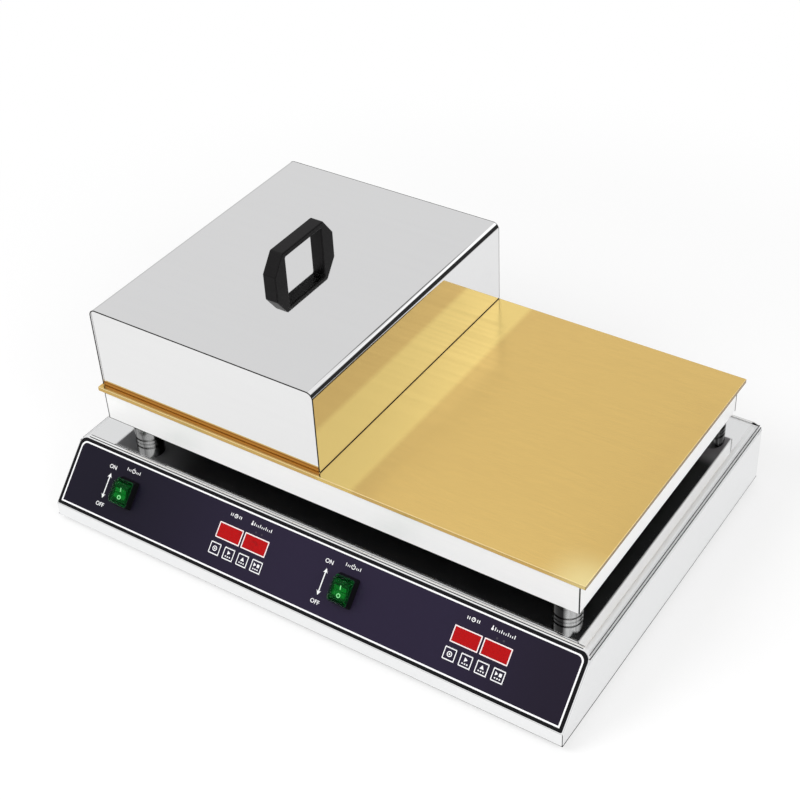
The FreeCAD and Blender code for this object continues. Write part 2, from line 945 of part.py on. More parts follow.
def tail_edges(x, y, z):
    low = vec(x, y + element_tail_radius, tail_low)
    knee = vec(x, y + element_tail_radius, z - element_tail_radius)
    half = element_tail_radius * (1 - math.sqrt(0.5))
    middle = vec(x, y + element_tail_radius - half, z - half)
    return [Part.LineSegment(low, knee).toShape(), Part.Arc(knee, middle, vec(x, y, z)).toShape()]


def heating_element(side):
    path = Part.Wire(element_path(side))
    start = path.OrderedVertexes[0].Point
    section = Part.Wire(Part.Circle(start, UP, element_radius).toShape())
    return path.makePipeShell([section], True, False)


def element_clamps():
    bars = []
    reach = (element_runs - 1) * element_run_pitch / 2 + clamp_end
    for side in SIDES:
        for y in clamp_rows():
            x = zone_x(side)
            bar = block(x - reach, x + reach, y - clamp_width / 2, y + clamp_width / 2,
                        clamp_top() - clamp_sheet, clamp_top())
            low = clamp_top() - clamp_sheet
            bores = [rod(clamp_stud_radius + screw_clearance, clamp_sheet, vec(column, y, low))
                     for column in stud_columns(side)]
            bars.append(bar.cut(bores))
    return bars


def clamp_studs():
    low = heater_low - clamp_nut_height - clamp_stud_tail
    return [rod(clamp_stud_radius, plate_low - low, vec(place.x, place.y, low))
            for place in clamp_stud_places()]


def clamp_nuts():
    nuts = []
    for place in clamp_stud_places():
        for top in (clamp_top() - clamp_sheet, heater_low):
            nuts.append(nut(clamp_nut_hex, clamp_nut_height, clamp_stud_radius + thread_fit,
                            vec(place.x, place.y, top), UP * -1))
    return nuts


def insulation_blanket():
    wall = heater_sheet + insulation_hole_gap
    slab = block(-heater_half + wall, heater_half - wall, heater_front + wall, heater_back - wall,
                 heater_floor, heater_floor + insulation_thickness)
    low = UP * heater_floor
    holes = [rod(clamp_stud_radius + insulation_hole_gap, insulation_thickness, vec(p.x, p.y, 0) + low)
             for p in clamp_stud_places()]
    nut_reach = leg_bolt_hex / math.sqrt(3) + insulation_hole_gap
    holes += [rod(nut_reach, insulation_thickness, vec(p.x, p.y, 0) + low) for p in leg_places()]
    holes += [rod(element_radius + insulation_hole_gap, insulation_thickness, vec(p.x, p.y, 0) + low)
              for p in tail_places()]
    return slab.cut(holes)


def lead_sleeves():
    return [tube(sleeve_radius, sleeve_bore(), leg_height, place) for place in tail_places()]


def temperature_probe(side):
    x = zone_x(side)
    y = plate_middle + probe_offset
    clamp = block(x - probe_block_width / 2, x + probe_block_width / 2, y - probe_block_length / 2,
                  y + probe_block_length / 2, plate_low - probe_block_height, plate_low)
    middle = vec(x, y - probe_length / 2, plate_low - probe_block_height / 2)
    bore = rod(probe_radius + probe_fit, probe_length, middle, BACK)
    return [clamp.cut(bore), rod(probe_radius, probe_length, middle, BACK)]


def limit_thermostat(side):
    x = zone_x(side)
    y = plate_middle + limit_offset
    flange = block(x - limit_flange_width / 2, x + limit_flange_width / 2, y - limit_flange_length / 2,
                   y + limit_flange_length / 2, plate_low - limit_flange_sheet, plate_low)
    disc = rod(limit_radius, limit_height, vec(x, y, plate_low), UP * -1)
    return joined([flange, disc])


# Relays, terminal blocks and leads

def inner_tail(side):
    return min((p for p in tail_places() if p.x * SIDES[side] > 0), key=lambda p: abs(p.x))


def outer_tail(side):
    return max((p for p in tail_places() if p.x * SIDES[side] > 0), key=lambda p: abs(p.x))


def relay(side):
    # A metal base with a screw slot at each end, and the case on it.
    p = inner_tail(side)
    half_x = relay_width / 2
    half_y = relay_length / 2
    base = block(-half_x, half_x, -half_y, half_y, 0, relay_base_sheet)
    case = block(-half_x, half_x, relay_inset - half_y, half_y - relay_inset, 0, relay_height)
    slots = [rod(relay_slot_radius, relay_base_sheet, vec(0, end * half_y, 0)) for end in (-1, 1)]
    return moved(joined([base, case]).cut(slots), p.x, p.y, base_low)


def terminal_block(side):
    # A stepped block: the wires enter at the two steps.
    p = outer_tail(side)
    half_x = block_width / 2
    half_y = block_length / 2
    body = block(-half_x, half_x, -half_y, half_y, 0, block_height)
    step_low = block_height - block_step_depth
    steps = [block(-half_x, block_step_width - half_x, -half_y, half_y, step_low, block_height),
             block(half_x - block_step_width, half_x, -half_y, half_y, step_low, block_height)]
    return moved(body.cut(steps), p.x, p.y, base_low)


def heater_leads():
    leads = []
    for side in SIDES:
        for place, height in ((inner_tail(side), relay_height), (outer_tail(side), block_height)):
            low = base_low + height
            leads.append(rod(lead_radius, tail_low - low, vec(place.x, place.y, low)))
    return leads


# Cover and handle

def lid_outline(inset, low):
    # Section of the bent sheet across the cover, drawn in by inset.
    half = lid_width / 2 - inset
    top = lid_top - inset
    solid = block(lid_middle_x - half, lid_middle_x + half, lid_front, lid_front + lid_depth, low, top)
    corners = [edge for edge in edges_at(solid, lambda p: near(p.z, top)) if along_y(edge)]
    return solid.makeFillet(lid_bend_radius - inset, corners)


def handle_screw_places():
    reach = (handle_length + handle_opening) / 4
    return [vec(lid_middle_x, lid_middle_y + step * reach, lid_top) for step in (-1, 1)]


def lid_shell():
    bent = lid_outline(0.0, plate_top).cut(lid_outline(lid_sheet, plate_top))
    bores = [rod(handle_screw_radius + screw_clearance, lid_sheet, place - UP * lid_sheet)
             for place in handle_screw_places()]
    return bent.cut(bores)


def lid_end_plate(at_front):
    start = lid_front + lid_plate_recess
    if not at_front:
        start = lid_front + lid_depth - lid_plate_recess - lid_sheet
    low = plate_top + lid_plate_gap
    slab = block(lid_left, lid_left + lid_width, start, start + lid_sheet, low, lid_top)
    return lid_outline(lid_sheet, plate_top).common(slab)


def lid_handle():
    half = handle_width / 2
    outer = [
        (-handle_length / 2, 0),
        (-handle_length / 2, handle_shoulder),
        (-handle_top_length / 2, handle_height),
        (handle_top_length / 2, handle_height),
        (handle_length / 2, handle_shoulder),
        (handle_length / 2, 0),
        (handle_opening / 2, 0),
        (handle_opening / 2, handle_height - handle_bar),
        (-handle_opening / 2, handle_height - handle_bar),
        (-handle_opening / 2, 0),
    ]
    points = [vec(-half, y, z) for y, z in outer]
    points.append(points[0])
    bow = Part.Face(Part.makePolygon(points)).extrude(vec(2 * half, 0, 0))
    inner_z = handle_height - handle_bar
    inner = edges_at(bow, lambda p: near(p.z, inner_z))
    bow = bow.makeFillet(handle_inner_radius, [edge for edge in inner if along_x(edge)])
    shoulders = edges_at(bow, lambda p: near(p.z, handle_height) or near(p.z, handle_shoulder))
    bow = bow.makeFillet(handle_outer_radius, [edge for edge in shoulders if along_x(edge)])
    sides = [edge for edge in bow.Edges if not along_x(edge) and edge.BoundBox.ZMax > handle_edge_radius]
    bow = bow.makeFillet(handle_edge_radius, sides)
    bow = moved(bow, lid_middle_x, lid_middle_y, lid_top)
    bores = [rod(handle_screw_radius + screw_clearance, handle_screw_depth, place)
             for place in handle_screw_places()]
    return bow.cut(bores)


def handle_screws():
    return [headed_screw(handle_screw_head_radius, handle_screw_head_height, handle_screw_radius,
                         lid_sheet + handle_screw_depth, place - UP * lid_sheet, UP)
            for place in handle_screw_places()]


def main():
    os.makedirs("parts", exist_ok=True)
    skin = base_skin()
    save("base_shell", [base_shell(skin)])
    save("side_ledges", [side_ledge(side) for side in (-1, 1)])
    save("front_panel", [front_panel(skin)])
    save("rear_panel", [rear_panel()])
    save("bottom_plate", [bottom_plate()])
    save("cover_screws", cover_screws())
    save("rubber_feet", [foot(place) for place in foot_places()])
    save("foot_screws", [foot_screw(place) for place in foot_places()])
    save("gland_body", [gland_body()])
    save("gland_cap", [gland_cap()])
    save("gland_locknut", [gland_locknut()])
    save("panel_overlay", [overlay()])
    for side in SIDES:
        save("display_windows_" + side, display_windows(side))
        save("display_modules_" + side, display_modules(side))
        save("control_board_" + side, [control_board(side)])
        for number in range(keys_per_group):
            save("key_%s_%d" % (side, number + 1), [key(side, number)])
        save("switch_body_" + side, [switch_body(side)])
        save("switch_rocker_" + side, [rocker(side)])
        save("switch_cap_" + side, [switch_cap(side)])
        save("heating_element_" + side, [heating_element(side)])
        save("temperature_probe_" + side, temperature_probe(side))
        save("relay_" + side, [relay(side)])
    save("terminal_blocks", [terminal_block(side) for side in SIDES])
    save("board_spacers", board_spacers())
    save("board_nuts", board_nuts())
    save("switch_terminals", switch_terminals())
    save("support_legs", [leg(place) for place in leg_places()])
    save("leg_bolts", [leg_bolt(place) for place in leg_places()])
    save("leg_nuts", [leg_nut(place) for place in leg_places()])
    save("griddle_plate", [griddle_plate()])
    save("heater_housing", [heater_housing()])
    save("heater_bottom", [heater_bottom()])
    save("element_clamps", element_clamps())
    save("clamp_studs", clamp_studs())
    save("clamp_nuts", clamp_nuts())
    save("insulation_blanket", [insulation_blanket()])
    save("lead_sleeves", lead_sleeves())
    save("limit_thermostats", [limit_thermostat(side) for side in SIDES])
    save("heater_leads", heater_leads())
    save("lid_shell", [lid_shell()])
    save("lid_front_plate", [lid_end_plate(True)])
    save("lid_rear_plate", [lid_end_plate(False)])
    save("lid_handle", [lid_handle()])
    save("handle_screws", handle_screws())


main()
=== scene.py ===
import json
import math

import bmesh
import bpy
from mathutils import Matrix, Vector

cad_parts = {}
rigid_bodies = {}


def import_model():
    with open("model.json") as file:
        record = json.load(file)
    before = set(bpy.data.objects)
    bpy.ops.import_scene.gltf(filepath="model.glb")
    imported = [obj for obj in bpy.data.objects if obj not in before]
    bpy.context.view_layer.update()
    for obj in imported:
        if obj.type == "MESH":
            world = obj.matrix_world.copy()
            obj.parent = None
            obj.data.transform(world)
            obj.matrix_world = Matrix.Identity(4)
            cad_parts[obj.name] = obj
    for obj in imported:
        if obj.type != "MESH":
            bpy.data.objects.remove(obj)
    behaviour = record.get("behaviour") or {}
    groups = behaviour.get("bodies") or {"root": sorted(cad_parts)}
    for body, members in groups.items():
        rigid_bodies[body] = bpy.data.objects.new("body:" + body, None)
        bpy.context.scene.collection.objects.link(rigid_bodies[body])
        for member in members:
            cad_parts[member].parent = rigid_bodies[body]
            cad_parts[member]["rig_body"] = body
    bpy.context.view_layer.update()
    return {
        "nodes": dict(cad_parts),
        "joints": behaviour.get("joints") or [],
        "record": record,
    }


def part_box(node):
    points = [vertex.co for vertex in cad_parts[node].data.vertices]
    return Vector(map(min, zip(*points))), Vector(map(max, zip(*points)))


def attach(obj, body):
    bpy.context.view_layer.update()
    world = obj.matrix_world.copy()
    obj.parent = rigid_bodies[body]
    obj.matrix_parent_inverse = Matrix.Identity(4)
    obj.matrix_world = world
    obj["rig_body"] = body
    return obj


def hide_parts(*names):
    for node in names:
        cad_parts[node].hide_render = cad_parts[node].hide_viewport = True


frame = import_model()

scene = bpy.context.scene
scene.view_settings.view_transform = "Standard"
mm = 0.001
weldGap = 0.002 * mm  # points nearer than this become one
bothSides = ("left", "right")


# node tree helpers

def setInputs(tree, made, inputs):
    for key, value in inputs.items():
        if isinstance(value, bpy.types.NodeSocket):
            tree.links.new(value, made.inputs[key])
        else:
            made.inputs[key].default_value = value
    return made


def put(tree, kind, inputs=None, **settings):
    made = tree.nodes.new(kind)
    for name, value in settings.items():
        setattr(made, name, value)
    return setInputs(tree, made, inputs or {})


def take(tree, kind, inputs=None, out=0, **settings):
    return put(tree, kind, inputs, **settings).outputs[out]


def calc(tree, operation, a, b=0.0):
    return take(tree, "ShaderNodeMath", {0: a, 1: b}, operation=operation)


def add(tree, a, b):
    return calc(tree, "ADD", a, b)


def times(tree, a, b):
    return calc(tree, "MULTIPLY", a, b)


def remap(tree, value, low, high, newLow=0.0, newHigh=1.0, smooth=False):
    reach = {"Value": value, "From Min": low, "From Max": high, "To Min": newLow, "To Max": newHigh}
    return take(tree, "ShaderNodeMapRange", reach, interpolation_type="SMOOTHSTEP" if smooth else "LINEAR")


def mixColour(tree, factor, a, b, blend="MIX"):
    return take(tree, "ShaderNodeMix", {0: factor, 6: a, 7: b}, data_type="RGBA", blend_type=blend, out=2)


def window(tree, value, low, high, soft):
    # 1 from low to high, with soft edges
    rise = remap(tree, value, low - soft, low + soft, smooth=True)
    fall = remap(tree, value, high - soft, high + soft, 1.0, 0.0, smooth=True)
    return times(tree, rise, fall)


def noise(tree, vector, scale, detail, roughness=0.5, distortion=0.0):
    return take(tree, "ShaderNodeTexNoise", {"Vector": vector, "Scale": scale, "Detail": detail,
                                             "Roughness": roughness, "Distortion": distortion})


def upBy(tree, rise):
    return take(tree, "ShaderNodeCombineXYZ", {"Z": rise})


def newTree(kind, name, inputs, outputs):
    tree = bpy.data.node_groups.new(name, kind)
    for way, sockets in (("INPUT", inputs), ("OUTPUT", outputs)):
        for label, sort in sockets.items():
            tree.interface.new_socket(label, in_out=way, socket_type="NodeSocket" + sort)
    start, end = tree.nodes.new("NodeGroupInput"), tree.nodes.new("NodeGroupOutput")
    return tree, start.outputs, end


def newEffect(name, values, masks, vectors=("Vector",)):
    inputs = {**dict.fromkeys(vectors, "Vector"), **dict.fromkeys(values, "Float")}
    return newTree("ShaderNodeTree", name, inputs, dict.fromkeys(masks, "Float"))


def useEffect(tree, group, **inputs):
    return put(tree, "ShaderNodeGroup", inputs, node_tree=group).outputs


# shared surface effects

def makeSmudgeGroup():
    # soft cloth marks and finger haze, as a value from 0 to 1
    cloth = {"finer": 7.3, "bigShare": 0.72, "smallShare": 0.28, "bare": 0.78, "soft": 0.24}
    tree, start, end = newEffect("smudges", ("Scale", "Cover"), ("Smudge",))
    big = noise(tree, start["Vector"], start["Scale"], 3.0, 0.55, 0.7)
    small = noise(tree, start["Vector"], times(tree, start["Scale"], cloth["finer"]), 4.0, 0.62)
    both = add(tree, times(tree, big, cloth["bigShare"]), times(tree, small, cloth["smallShare"]))
    low = calc(tree, "SUBTRACT", cloth["bare"], times(tree, start["Cover"], 0.5))
    high = add(tree, low, cloth["soft"])
    setInputs(tree, end, {"Smudge": remap(tree, both, low, high, smooth=True)})
    return tree


def makeBrushGroup():
    # fine straight grain; Stretch says how the grain runs (small along the grain, large across it)
    bandScale = 0.13
    tree, start, end = newEffect("brushedGrain", ("Scale",), ("Grain", "Bands"), ("Vector", "Stretch"))
    spread = take(tree, "ShaderNodeVectorMath", {0: start["Vector"], 1: start["Stretch"]}, operation="MULTIPLY")
    setInputs(tree, end, {"Grain": noise(tree, spread, start["Scale"], 3.0, 0.7),
                          "Bands": noise(tree, spread, times(tree, start["Scale"], bandScale), 2.0)})
    return tree


def makeHairlineGroup():
    # sparse fine scratches in three slanted directions, as a mask
    scratch = {"ways": ((0.5, 0.03), (-0.9, 0.045), (1.9, 0.035)), "tip": 0.4, "thin": 0.004, "gateScale": 5.0,
               "gate": (0.52, 0.66)}
    tree, start, end = newEffect("hairlines", ("Scale", "Amount"), ("Scratch",))
    total = None
    for turn, stretch in scratch["ways"]:
        turned = take(tree, "ShaderNodeMapping", {"Vector": start["Vector"], "Scale": (stretch, 1.0, 1.0),
                                                  "Rotation": (scratch["tip"] * turn, turn, turn)})
        wave = noise(tree, turned, start["Scale"], 1.0, 0.4)
        line = calc(tree, "ABSOLUTE", calc(tree, "SUBTRACT", wave, 0.5))
        thin = remap(tree, line, 0.0, scratch["thin"], 1.0, 0.0)
        gate = remap(tree, noise(tree, turned, scratch["gateScale"], 0.0), *scratch["gate"])
        some = times(tree, thin, gate)
        total = some if total is None else calc(tree, "MAXIMUM", total, some)
    setInputs(tree, end, {"Scratch": times(tree, total, start["Amount"])})
    return tree


def makeSheetGroup():
    # slow swell of a bent sheet, as a height in metres
    tree, start, end = newEffect("sheetSwell", ("Scale", "Rise"), ("Height",))
    slow = noise(tree, start["Vector"], start["Scale"], 1.0, 0.4)
    setInputs(tree, end, {"Height": times(tree, slow, start["Rise"])})
    return tree


def makeMouldGroup():
    # spark-eroded grain of moulded plastic and rubber: a height, and a mask of its pits
    spark = {"cellShare": 0.6, "noiseShare": 0.4, "pits": (0.25, 0.55)}
    tree, start, end = newEffect("mouldGrain", ("Scale",), ("Height", "Pits"))
    cells = take(tree, "ShaderNodeTexVoronoi", {"Vector": start["Vector"], "Scale": start["Scale"]},
                 feature="SMOOTH_F1", out="Distance")
    rough = noise(tree, start["Vector"], start["Scale"], 3.0)
    height = add(tree, times(tree, cells, spark["cellShare"]), times(tree, rough, spark["noiseShare"]))
    setInputs(tree, end, {"Height": height, "Pits": remap(tree, height, *spark["pits"], 1.0, 0.0)})
    return tree


smudges = makeSmudgeGroup()
brushedGrain = makeBrushGroup()
hairlines = makeHairlineGroup()
sheetSwell = makeSheetGroup()
mouldGrain = makeMouldGroup()
print("surface effects ready")


# materials

grainRange = (0.3, 0.7)  # the part of the grain's noise that shows
bandRoughness = (-0.03, 0.05)  # what the bands of a brushed face do to its roughness
brushDepth, mouldDepth = 0.02 * mm, 0.04 * mm


def tint(colour, level=1.0):
    return (colour[0] * level, colour[1] * level, colour[2] * level, 1.0)


def grey(level):
    return (level, level, level, 1.0)


def strip(colour, blend="MIX", **reach):
    # a painted zone; each axis has its low, its high and how soft its edges are
    return colour, blend, reach


def stripMask(tree, place, reach):
    # 1 inside the zone, 0 outside it
    apart = put(tree, "ShaderNodeSeparateXYZ", {0: place}).outputs
    mask = None
    for axis, edges in reach.items():
        part = window(tree, apart[axis], *edges)
        mask = part if mask is None else times(tree, mask, part)
    return mask


def startMaterial(name, shaderValues):
    material = bpy.data.materials.new(name)
    material.use_nodes = True
    tree = material.node_tree
    shader = next(node for node in tree.nodes if node.type == "BSDF_PRINCIPLED")
    setInputs(tree, shader, shaderValues)
    return tree, shader, take(tree, "ShaderNodeTexCoord", out="Object")


def hazeOf(tree, place, look):
    return useEffect(tree, smudges, Vector=place, Scale=look["smudgeScale"], Cover=look["smudgeCover"])["Smudge"]


def grainOf(tree, place, look):
    return useEffect(tree, brushedGrain, Vector=place, Stretch=look["grainStretch"], Scale=look["grainScale"])


def endMaterial(tree, shader, place, look, colour, rough, height, strength=1.0, distance=1.0):
    for shade, blend, reach in look.get("strips", ()):
        colour = mixColour(tree, stripMask(tree, place, reach), colour, tint(shade), blend)
    bump = take(tree, "ShaderNodeBump", {"Strength": strength, "Distance": distance, "Height": height})
    setInputs(tree, shader, {"Base Color": colour, "Roughness": rough, "Normal": bump})


def polishedSteel(name, look):
    tree, shader, place = startMaterial(name, {"Metallic": 1.0})
    haze, grain = hazeOf(tree, place, look), grainOf(tree, place, look)
    lines = useEffect(tree, hairlines, Vector=place, Scale=look["scratchScale"], Amount=look["scratch"])["Scratch"]
    colour = mixColour(tree, haze, tint(look["colour"]), tint(look["colour"], look["hazeTone"]))
    bands = remap(tree, grain["Bands"], *grainRange, 0.0, look["bands"])
    colour = mixColour(tree, bands, colour, tint(look["colour"], look["bandTone"]))
    rough = add(tree, look["roughness"], times(tree, haze, look["hazeRoughness"]))
    rough = add(tree, rough, times(tree, lines, look["scratchRoughness"]))
    for reach in look.get("scuffed", ()):
        rough = add(tree, rough, times(tree, stripMask(tree, place, reach), look["scuff"]))
    swell = useEffect(tree, sheetSwell, Vector=place, Scale=look["swellScale"], Rise=look["swellRise"])["Height"]
    relief = add(tree, swell, times(tree, grain["Grain"], look["grainRise"]))
    endMaterial(tree, shader, place, look, colour, rough, relief)


def brushedMetal(name, look):
    tree, shader, place = startMaterial(name, {"Metallic": look["metallic"]})
    haze, grain = hazeOf(tree, place, look), grainOf(tree, place, look)
    light = remap(tree, grain["Grain"], *grainRange)
    colour = mixColour(tree, light, tint(look["colour"], 1.0 - look["contrast"]), tint(look["colour"]))
    colour = mixColour(tree, times(tree, haze, look["stain"]), colour, tint(look["stainColour"]))
    # painted reflections: streaks darker along the grain's bands
    if "streaks" in look:
        low, high, tone = look["streaks"]
        colour = mixColour(tree, remap(tree, grain["Bands"], low, high), tint(look["colour"], tone), colour)
    low, high = (look["roughness"] + change for change in bandRoughness)
    rough = remap(tree, grain["Bands"], *grainRange, low, high)
    rough = add(tree, rough, times(tree, haze, look["hazeRoughness"]))
    endMaterial(tree, shader, place, look, colour, rough, grain["Grain"], look["bump"], brushDepth)


def mouldedPlastic(name, look):
    tree, shader, place = startMaterial(name, {"Specular IOR Level": look["gloss"]})
    grain = useEffect(tree, mouldGrain, Vector=place, Scale=look["grainScale"])
    haze = hazeOf(tree, place, look)
    colour = mixColour(tree, grain["Pits"], tint(look["colour"]), tint(look["colour"], look["pitTone"]))
    colour = mixColour(tree, times(tree, haze, look["wear"]), colour, tint(look["wearColour"]))
    rough = add(tree, look["roughness"], times(tree, haze, look["hazeRoughness"]))
    endMaterial(tree, shader, place, look, colour, rough, grain["Height"], look["bump"], mouldDepth)
    if "glow" in look:
        setInputs(tree, shader, {"Emission Color": tint(look["glow"]), "Emission Strength": 1.0})


def clearPlastic(name, look):
    tree, shader, place = startMaterial(name, {"Transmission Weight": 1.0, "IOR": look["bend"], "Metallic": 0.0})
    haze = hazeOf(tree, place, look)
    setInputs(tree, shader, {"Base Color": mixColour(tree, haze, tint(look["colour"]), tint(look["hazeColour"])),
                             "Roughness": remap(tree, haze, 0.0, 1.0, *look["roughness"])})


def makeAll(make, base, looks):
    for name, look in looks.items():
        make(name, {**base, **look})


# polished sheet
sheetLook = {
    "smudgeScale": 7.0, "smudgeCover": 0.35, "hazeTone": 0.93, "scratch": 0.5, "scratchScale": 34.0,
    "scratchRoughness": 0.12, "grainStretch": (1.0, 24.0, 24.0), "grainScale": 40.0, "grainRise": 0.0000004,
    "bands": 0.06, "bandTone": 0.86, "roughness": 0.035, "hazeRoughness": 0.05, "swellScale": 4.0,
    "swellRise": 0.00012}
deckEdge = (0.0730, 0.0900, 0.0006)
makeAll(polishedSteel, sheetLook, {
    "lidSteel": {"colour": (0.80, 0.80, 0.805)},
    "lidEndSteel": {
        "colour": (0.785, 0.785, 0.785),
        "strips": [strip((0.60, 0.40, 0.20), Z=(0.1400, 0.1474, 0.0006)),  # painted shade at the foot: the browns of the shaded brass under the cover
                   strip((0.36, 0.20, 0.09), Z=(0.1474, 0.1496, 0.0005))]},
    "baseSteel": {
        "colour": (0.86, 0.865, 0.87), "roughness": 0.07, "scuff": 0.5,
        "scuffed": [{"X": (0.3100, 0.3250, 0.0006), "Z": deckEdge}, {"X": (-0.3250, -0.3100, 0.0006), "Z": deckEdge},
                    {"Y": (0.2050, 0.2200, 0.0006), "Z": deckEdge}]},
})

# brushed, turned and plated metal
brushLook = {
    "metallic": 1.0, "grainScale": 40.0, "smudgeScale": 30.0, "smudgeCover": 0.5, "contrast": 0.3,
    "hazeRoughness": 0.1, "bump": 0.2}
makeAll(brushedMetal, brushLook, {
    "heaterSteel": {
        "metallic": 0.45, "grainStretch": (1.0, 30.0, 30.0), "grainScale": 30.0, "smudgeScale": 6.0,
        "smudgeCover": 0.3, "colour": (0.95, 0.95, 0.945), "contrast": 0.03, "stain": 0.05,
        "stainColour": (0.80, 0.80, 0.79), "roughness": 0.45, "hazeRoughness": 0.06, "bump": 0.1},
    # painted reflections on the turned legs: dark streaks and dark smudges for the dark surroundings they mirror
    "turnedSteel": {
        "grainStretch": (13.0, 13.0, 0.3), "colour": (0.64, 0.64, 0.635), "stain": 0.35,
        "stainColour": (0.10, 0.10, 0.10), "roughness": 0.16, "bump": 0.25, "streaks": (0.44, 0.64, 0.03)},
    "satinSteel": {
        "grainStretch": (1.0, 40.0, 40.0), "smudgeScale": 8.0, "smudgeCover": 0.4, "colour": (0.68, 0.68, 0.675),
        "contrast": 0.16, "stain": 0.10, "stainColour": (0.45, 0.44, 0.42), "roughness": 0.26, "bump": 0.35},
    "platedSteel": {
        "grainStretch": (14.0, 14.0, 14.0), "grainScale": 60.0, "smudgeScale": 90.0, "colour": (0.70, 0.70, 0.69),
        "contrast": 0.12, "stain": 0.25, "stainColour": (0.42, 0.40, 0.36), "roughness": 0.24, "hazeRoughness": 0.16},
    "brassContacts": {
        "grainStretch": (20.0, 20.0, 20.0), "grainScale": 50.0, "smudgeScale": 60.0, "colour": (0.80, 0.60, 0.28),
        "contrast": 0.15, "stain": 0.3, "stainColour": (0.45, 0.30, 0.12), "roughness": 0.28, "hazeRoughness": 0.12},
    "elementSheath": {
        "grainStretch": (6.0, 6.0, 6.0), "smudgeCover": 0.6, "colour": (0.26, 0.24, 0.22), "stain": 0.5,
        "stainColour": (0.16, 0.11, 0.09), "roughness": 0.42, "hazeRoughness": 0.15, "bump": 0.4},
})
brassLook = {**brushLook, "grainStretch": (1.0, 36.0, 36.0), "grainScale": 36.0, "smudgeScale": 20.0}
farOut = 9.0  # past any end of the plate
rim = (0.1300, 0.1434, 0.0003)
makeAll(brushedMetal, brassLook, {
    "brassPlate": {
        "smudgeScale": 6.0, "smudgeCover": 0.55, "colour": (0.87, 0.60, 0.205), "contrast": 0.07, "stain": 0.16,
        "stainColour": (0.74, 0.48, 0.175), "roughness": 0.19, "hazeRoughness": 0.05, "bump": 0.12,
        "strips": [strip((1.0, 0.75, 0.262), X=(-0.006, 0.037, 0.005)),  # painted highlight: a lighter band beside the cover, for light thrown off its side
                   strip((1.0, 0.82, 0.38), X=(0.272, farOut, 0.026), Y=(-farOut, -0.131, 0.026)),  # painted highlight at the front right corner
                   # painted shade: the plate's edge faces darker, the right-hand one darker still
                   strip((0.66, 0.63, 0.56), "MULTIPLY", Z=rim),
                   strip((0.50, 0.47, 0.40), "MULTIPLY", X=(0.2994, farOut, 0.0003), Z=rim),
                   # painted shade along the foot of the cover, in front of it
                   strip((0.74, 0.46, 0.14), X=(-0.300, -0.006, 0.001), Y=(-0.1562, -0.1515, 0.0012))]},
    # pale brass of the painted highlight round the plate's upper edge
    "edgeBrass": {
        "smudgeCover": 0.4, "colour": (1.0, 0.84, 0.50), "contrast": 0.08, "stain": 0.2,
        "stainColour": (0.90, 0.68, 0.32), "roughness": 0.18, "hazeRoughness": 0.08, "bump": 0.1},
    # brown of the painted shade in the gap under each end plate of the cover
    "heatTint": {
        "smudgeCover": 0.6, "colour": (0.58, 0.34, 0.10), "contrast": 0.2, "stain": 0.6,
        "stainColour": (0.36, 0.18, 0.05), "roughness": 0.35},
})

# moulded plastic, rubber, ceramic and painted sheet
plasticLook = {
    "grainScale": 1500.0, "smudgeScale": 22.0, "smudgeCover": 0.5, "colour": (0.012, 0.012, 0.013), "pitTone": 0.6,
    "wear": 0.25, "wearColour": (0.035, 0.035, 0.036), "roughness": 0.34, "hazeRoughness": 0.16, "bump": 0.35,
    "gloss": 0.4}
makeAll(mouldedPlastic, plasticLook, {
    "blackPlastic": {},
    "blackHandle": {"colour": (0.009, 0.0084, 0.0088), "gloss": 0.11, "wearColour": (0.014, 0.013, 0.014)},
    "switchBlack": {"colour": (0.006, 0.006, 0.007), "gloss": 0.12, "wearColour": (0.012, 0.012, 0.013)},
    "displayCase": {"roughness": 0.5},
    "rubberFoot": {"colour": (0.02, 0.02, 0.02), "roughness": 0.72, "bump": 0.6, "wear": 0.5,
                   "wearColour": (0.07, 0.068, 0.065)},
    "seamDark": {"colour": (0.012, 0.011, 0.010), "gloss": 0.15, "roughness": 0.6},
    "ceramicBlock": {"colour": (0.80, 0.79, 0.75), "pitTone": 0.9, "wearColour": (0.6, 0.58, 0.52), "roughness": 0.4},
    "circuitBoard": {"colour": (0.015, 0.13, 0.045), "pitTone": 0.8, "wearColour": (0.02, 0.09, 0.035),
                     "roughness": 0.28},
    "fibreBlanket": {"grainScale": 500.0, "colour": (0.82, 0.81, 0.77), "pitTone": 0.75,
                     "wearColour": (0.7, 0.67, 0.6), "roughness": 0.95, "bump": 1.0},
    "wireSleeve": {"grainScale": 900.0, "colour": (0.70, 0.68, 0.62), "pitTone": 0.7, "wearColour": (0.5, 0.47, 0.4),
                   "roughness": 0.8, "bump": 0.9},
})
darkLook = {
    **plasticLook, "grainScale": 700.0, "colour": (0.016, 0.016, 0.017), "roughness": 0.55, "wear": 0.4,
    "wearColour": (0.045, 0.04, 0.036)}
makeAll(mouldedPlastic, darkLook, {
    "darkSteel": {},
    "underSteel": {"strips": [strip((0.15, 0.15, 0.155), X=(-0.3200, -0.2150, 0.0300)),  # painted light: greyer towards two edges, where the underside catches light from the room
                              strip((0.22, 0.21, 0.215), Y=(0.1500, 0.2100, 0.0100))]},
})

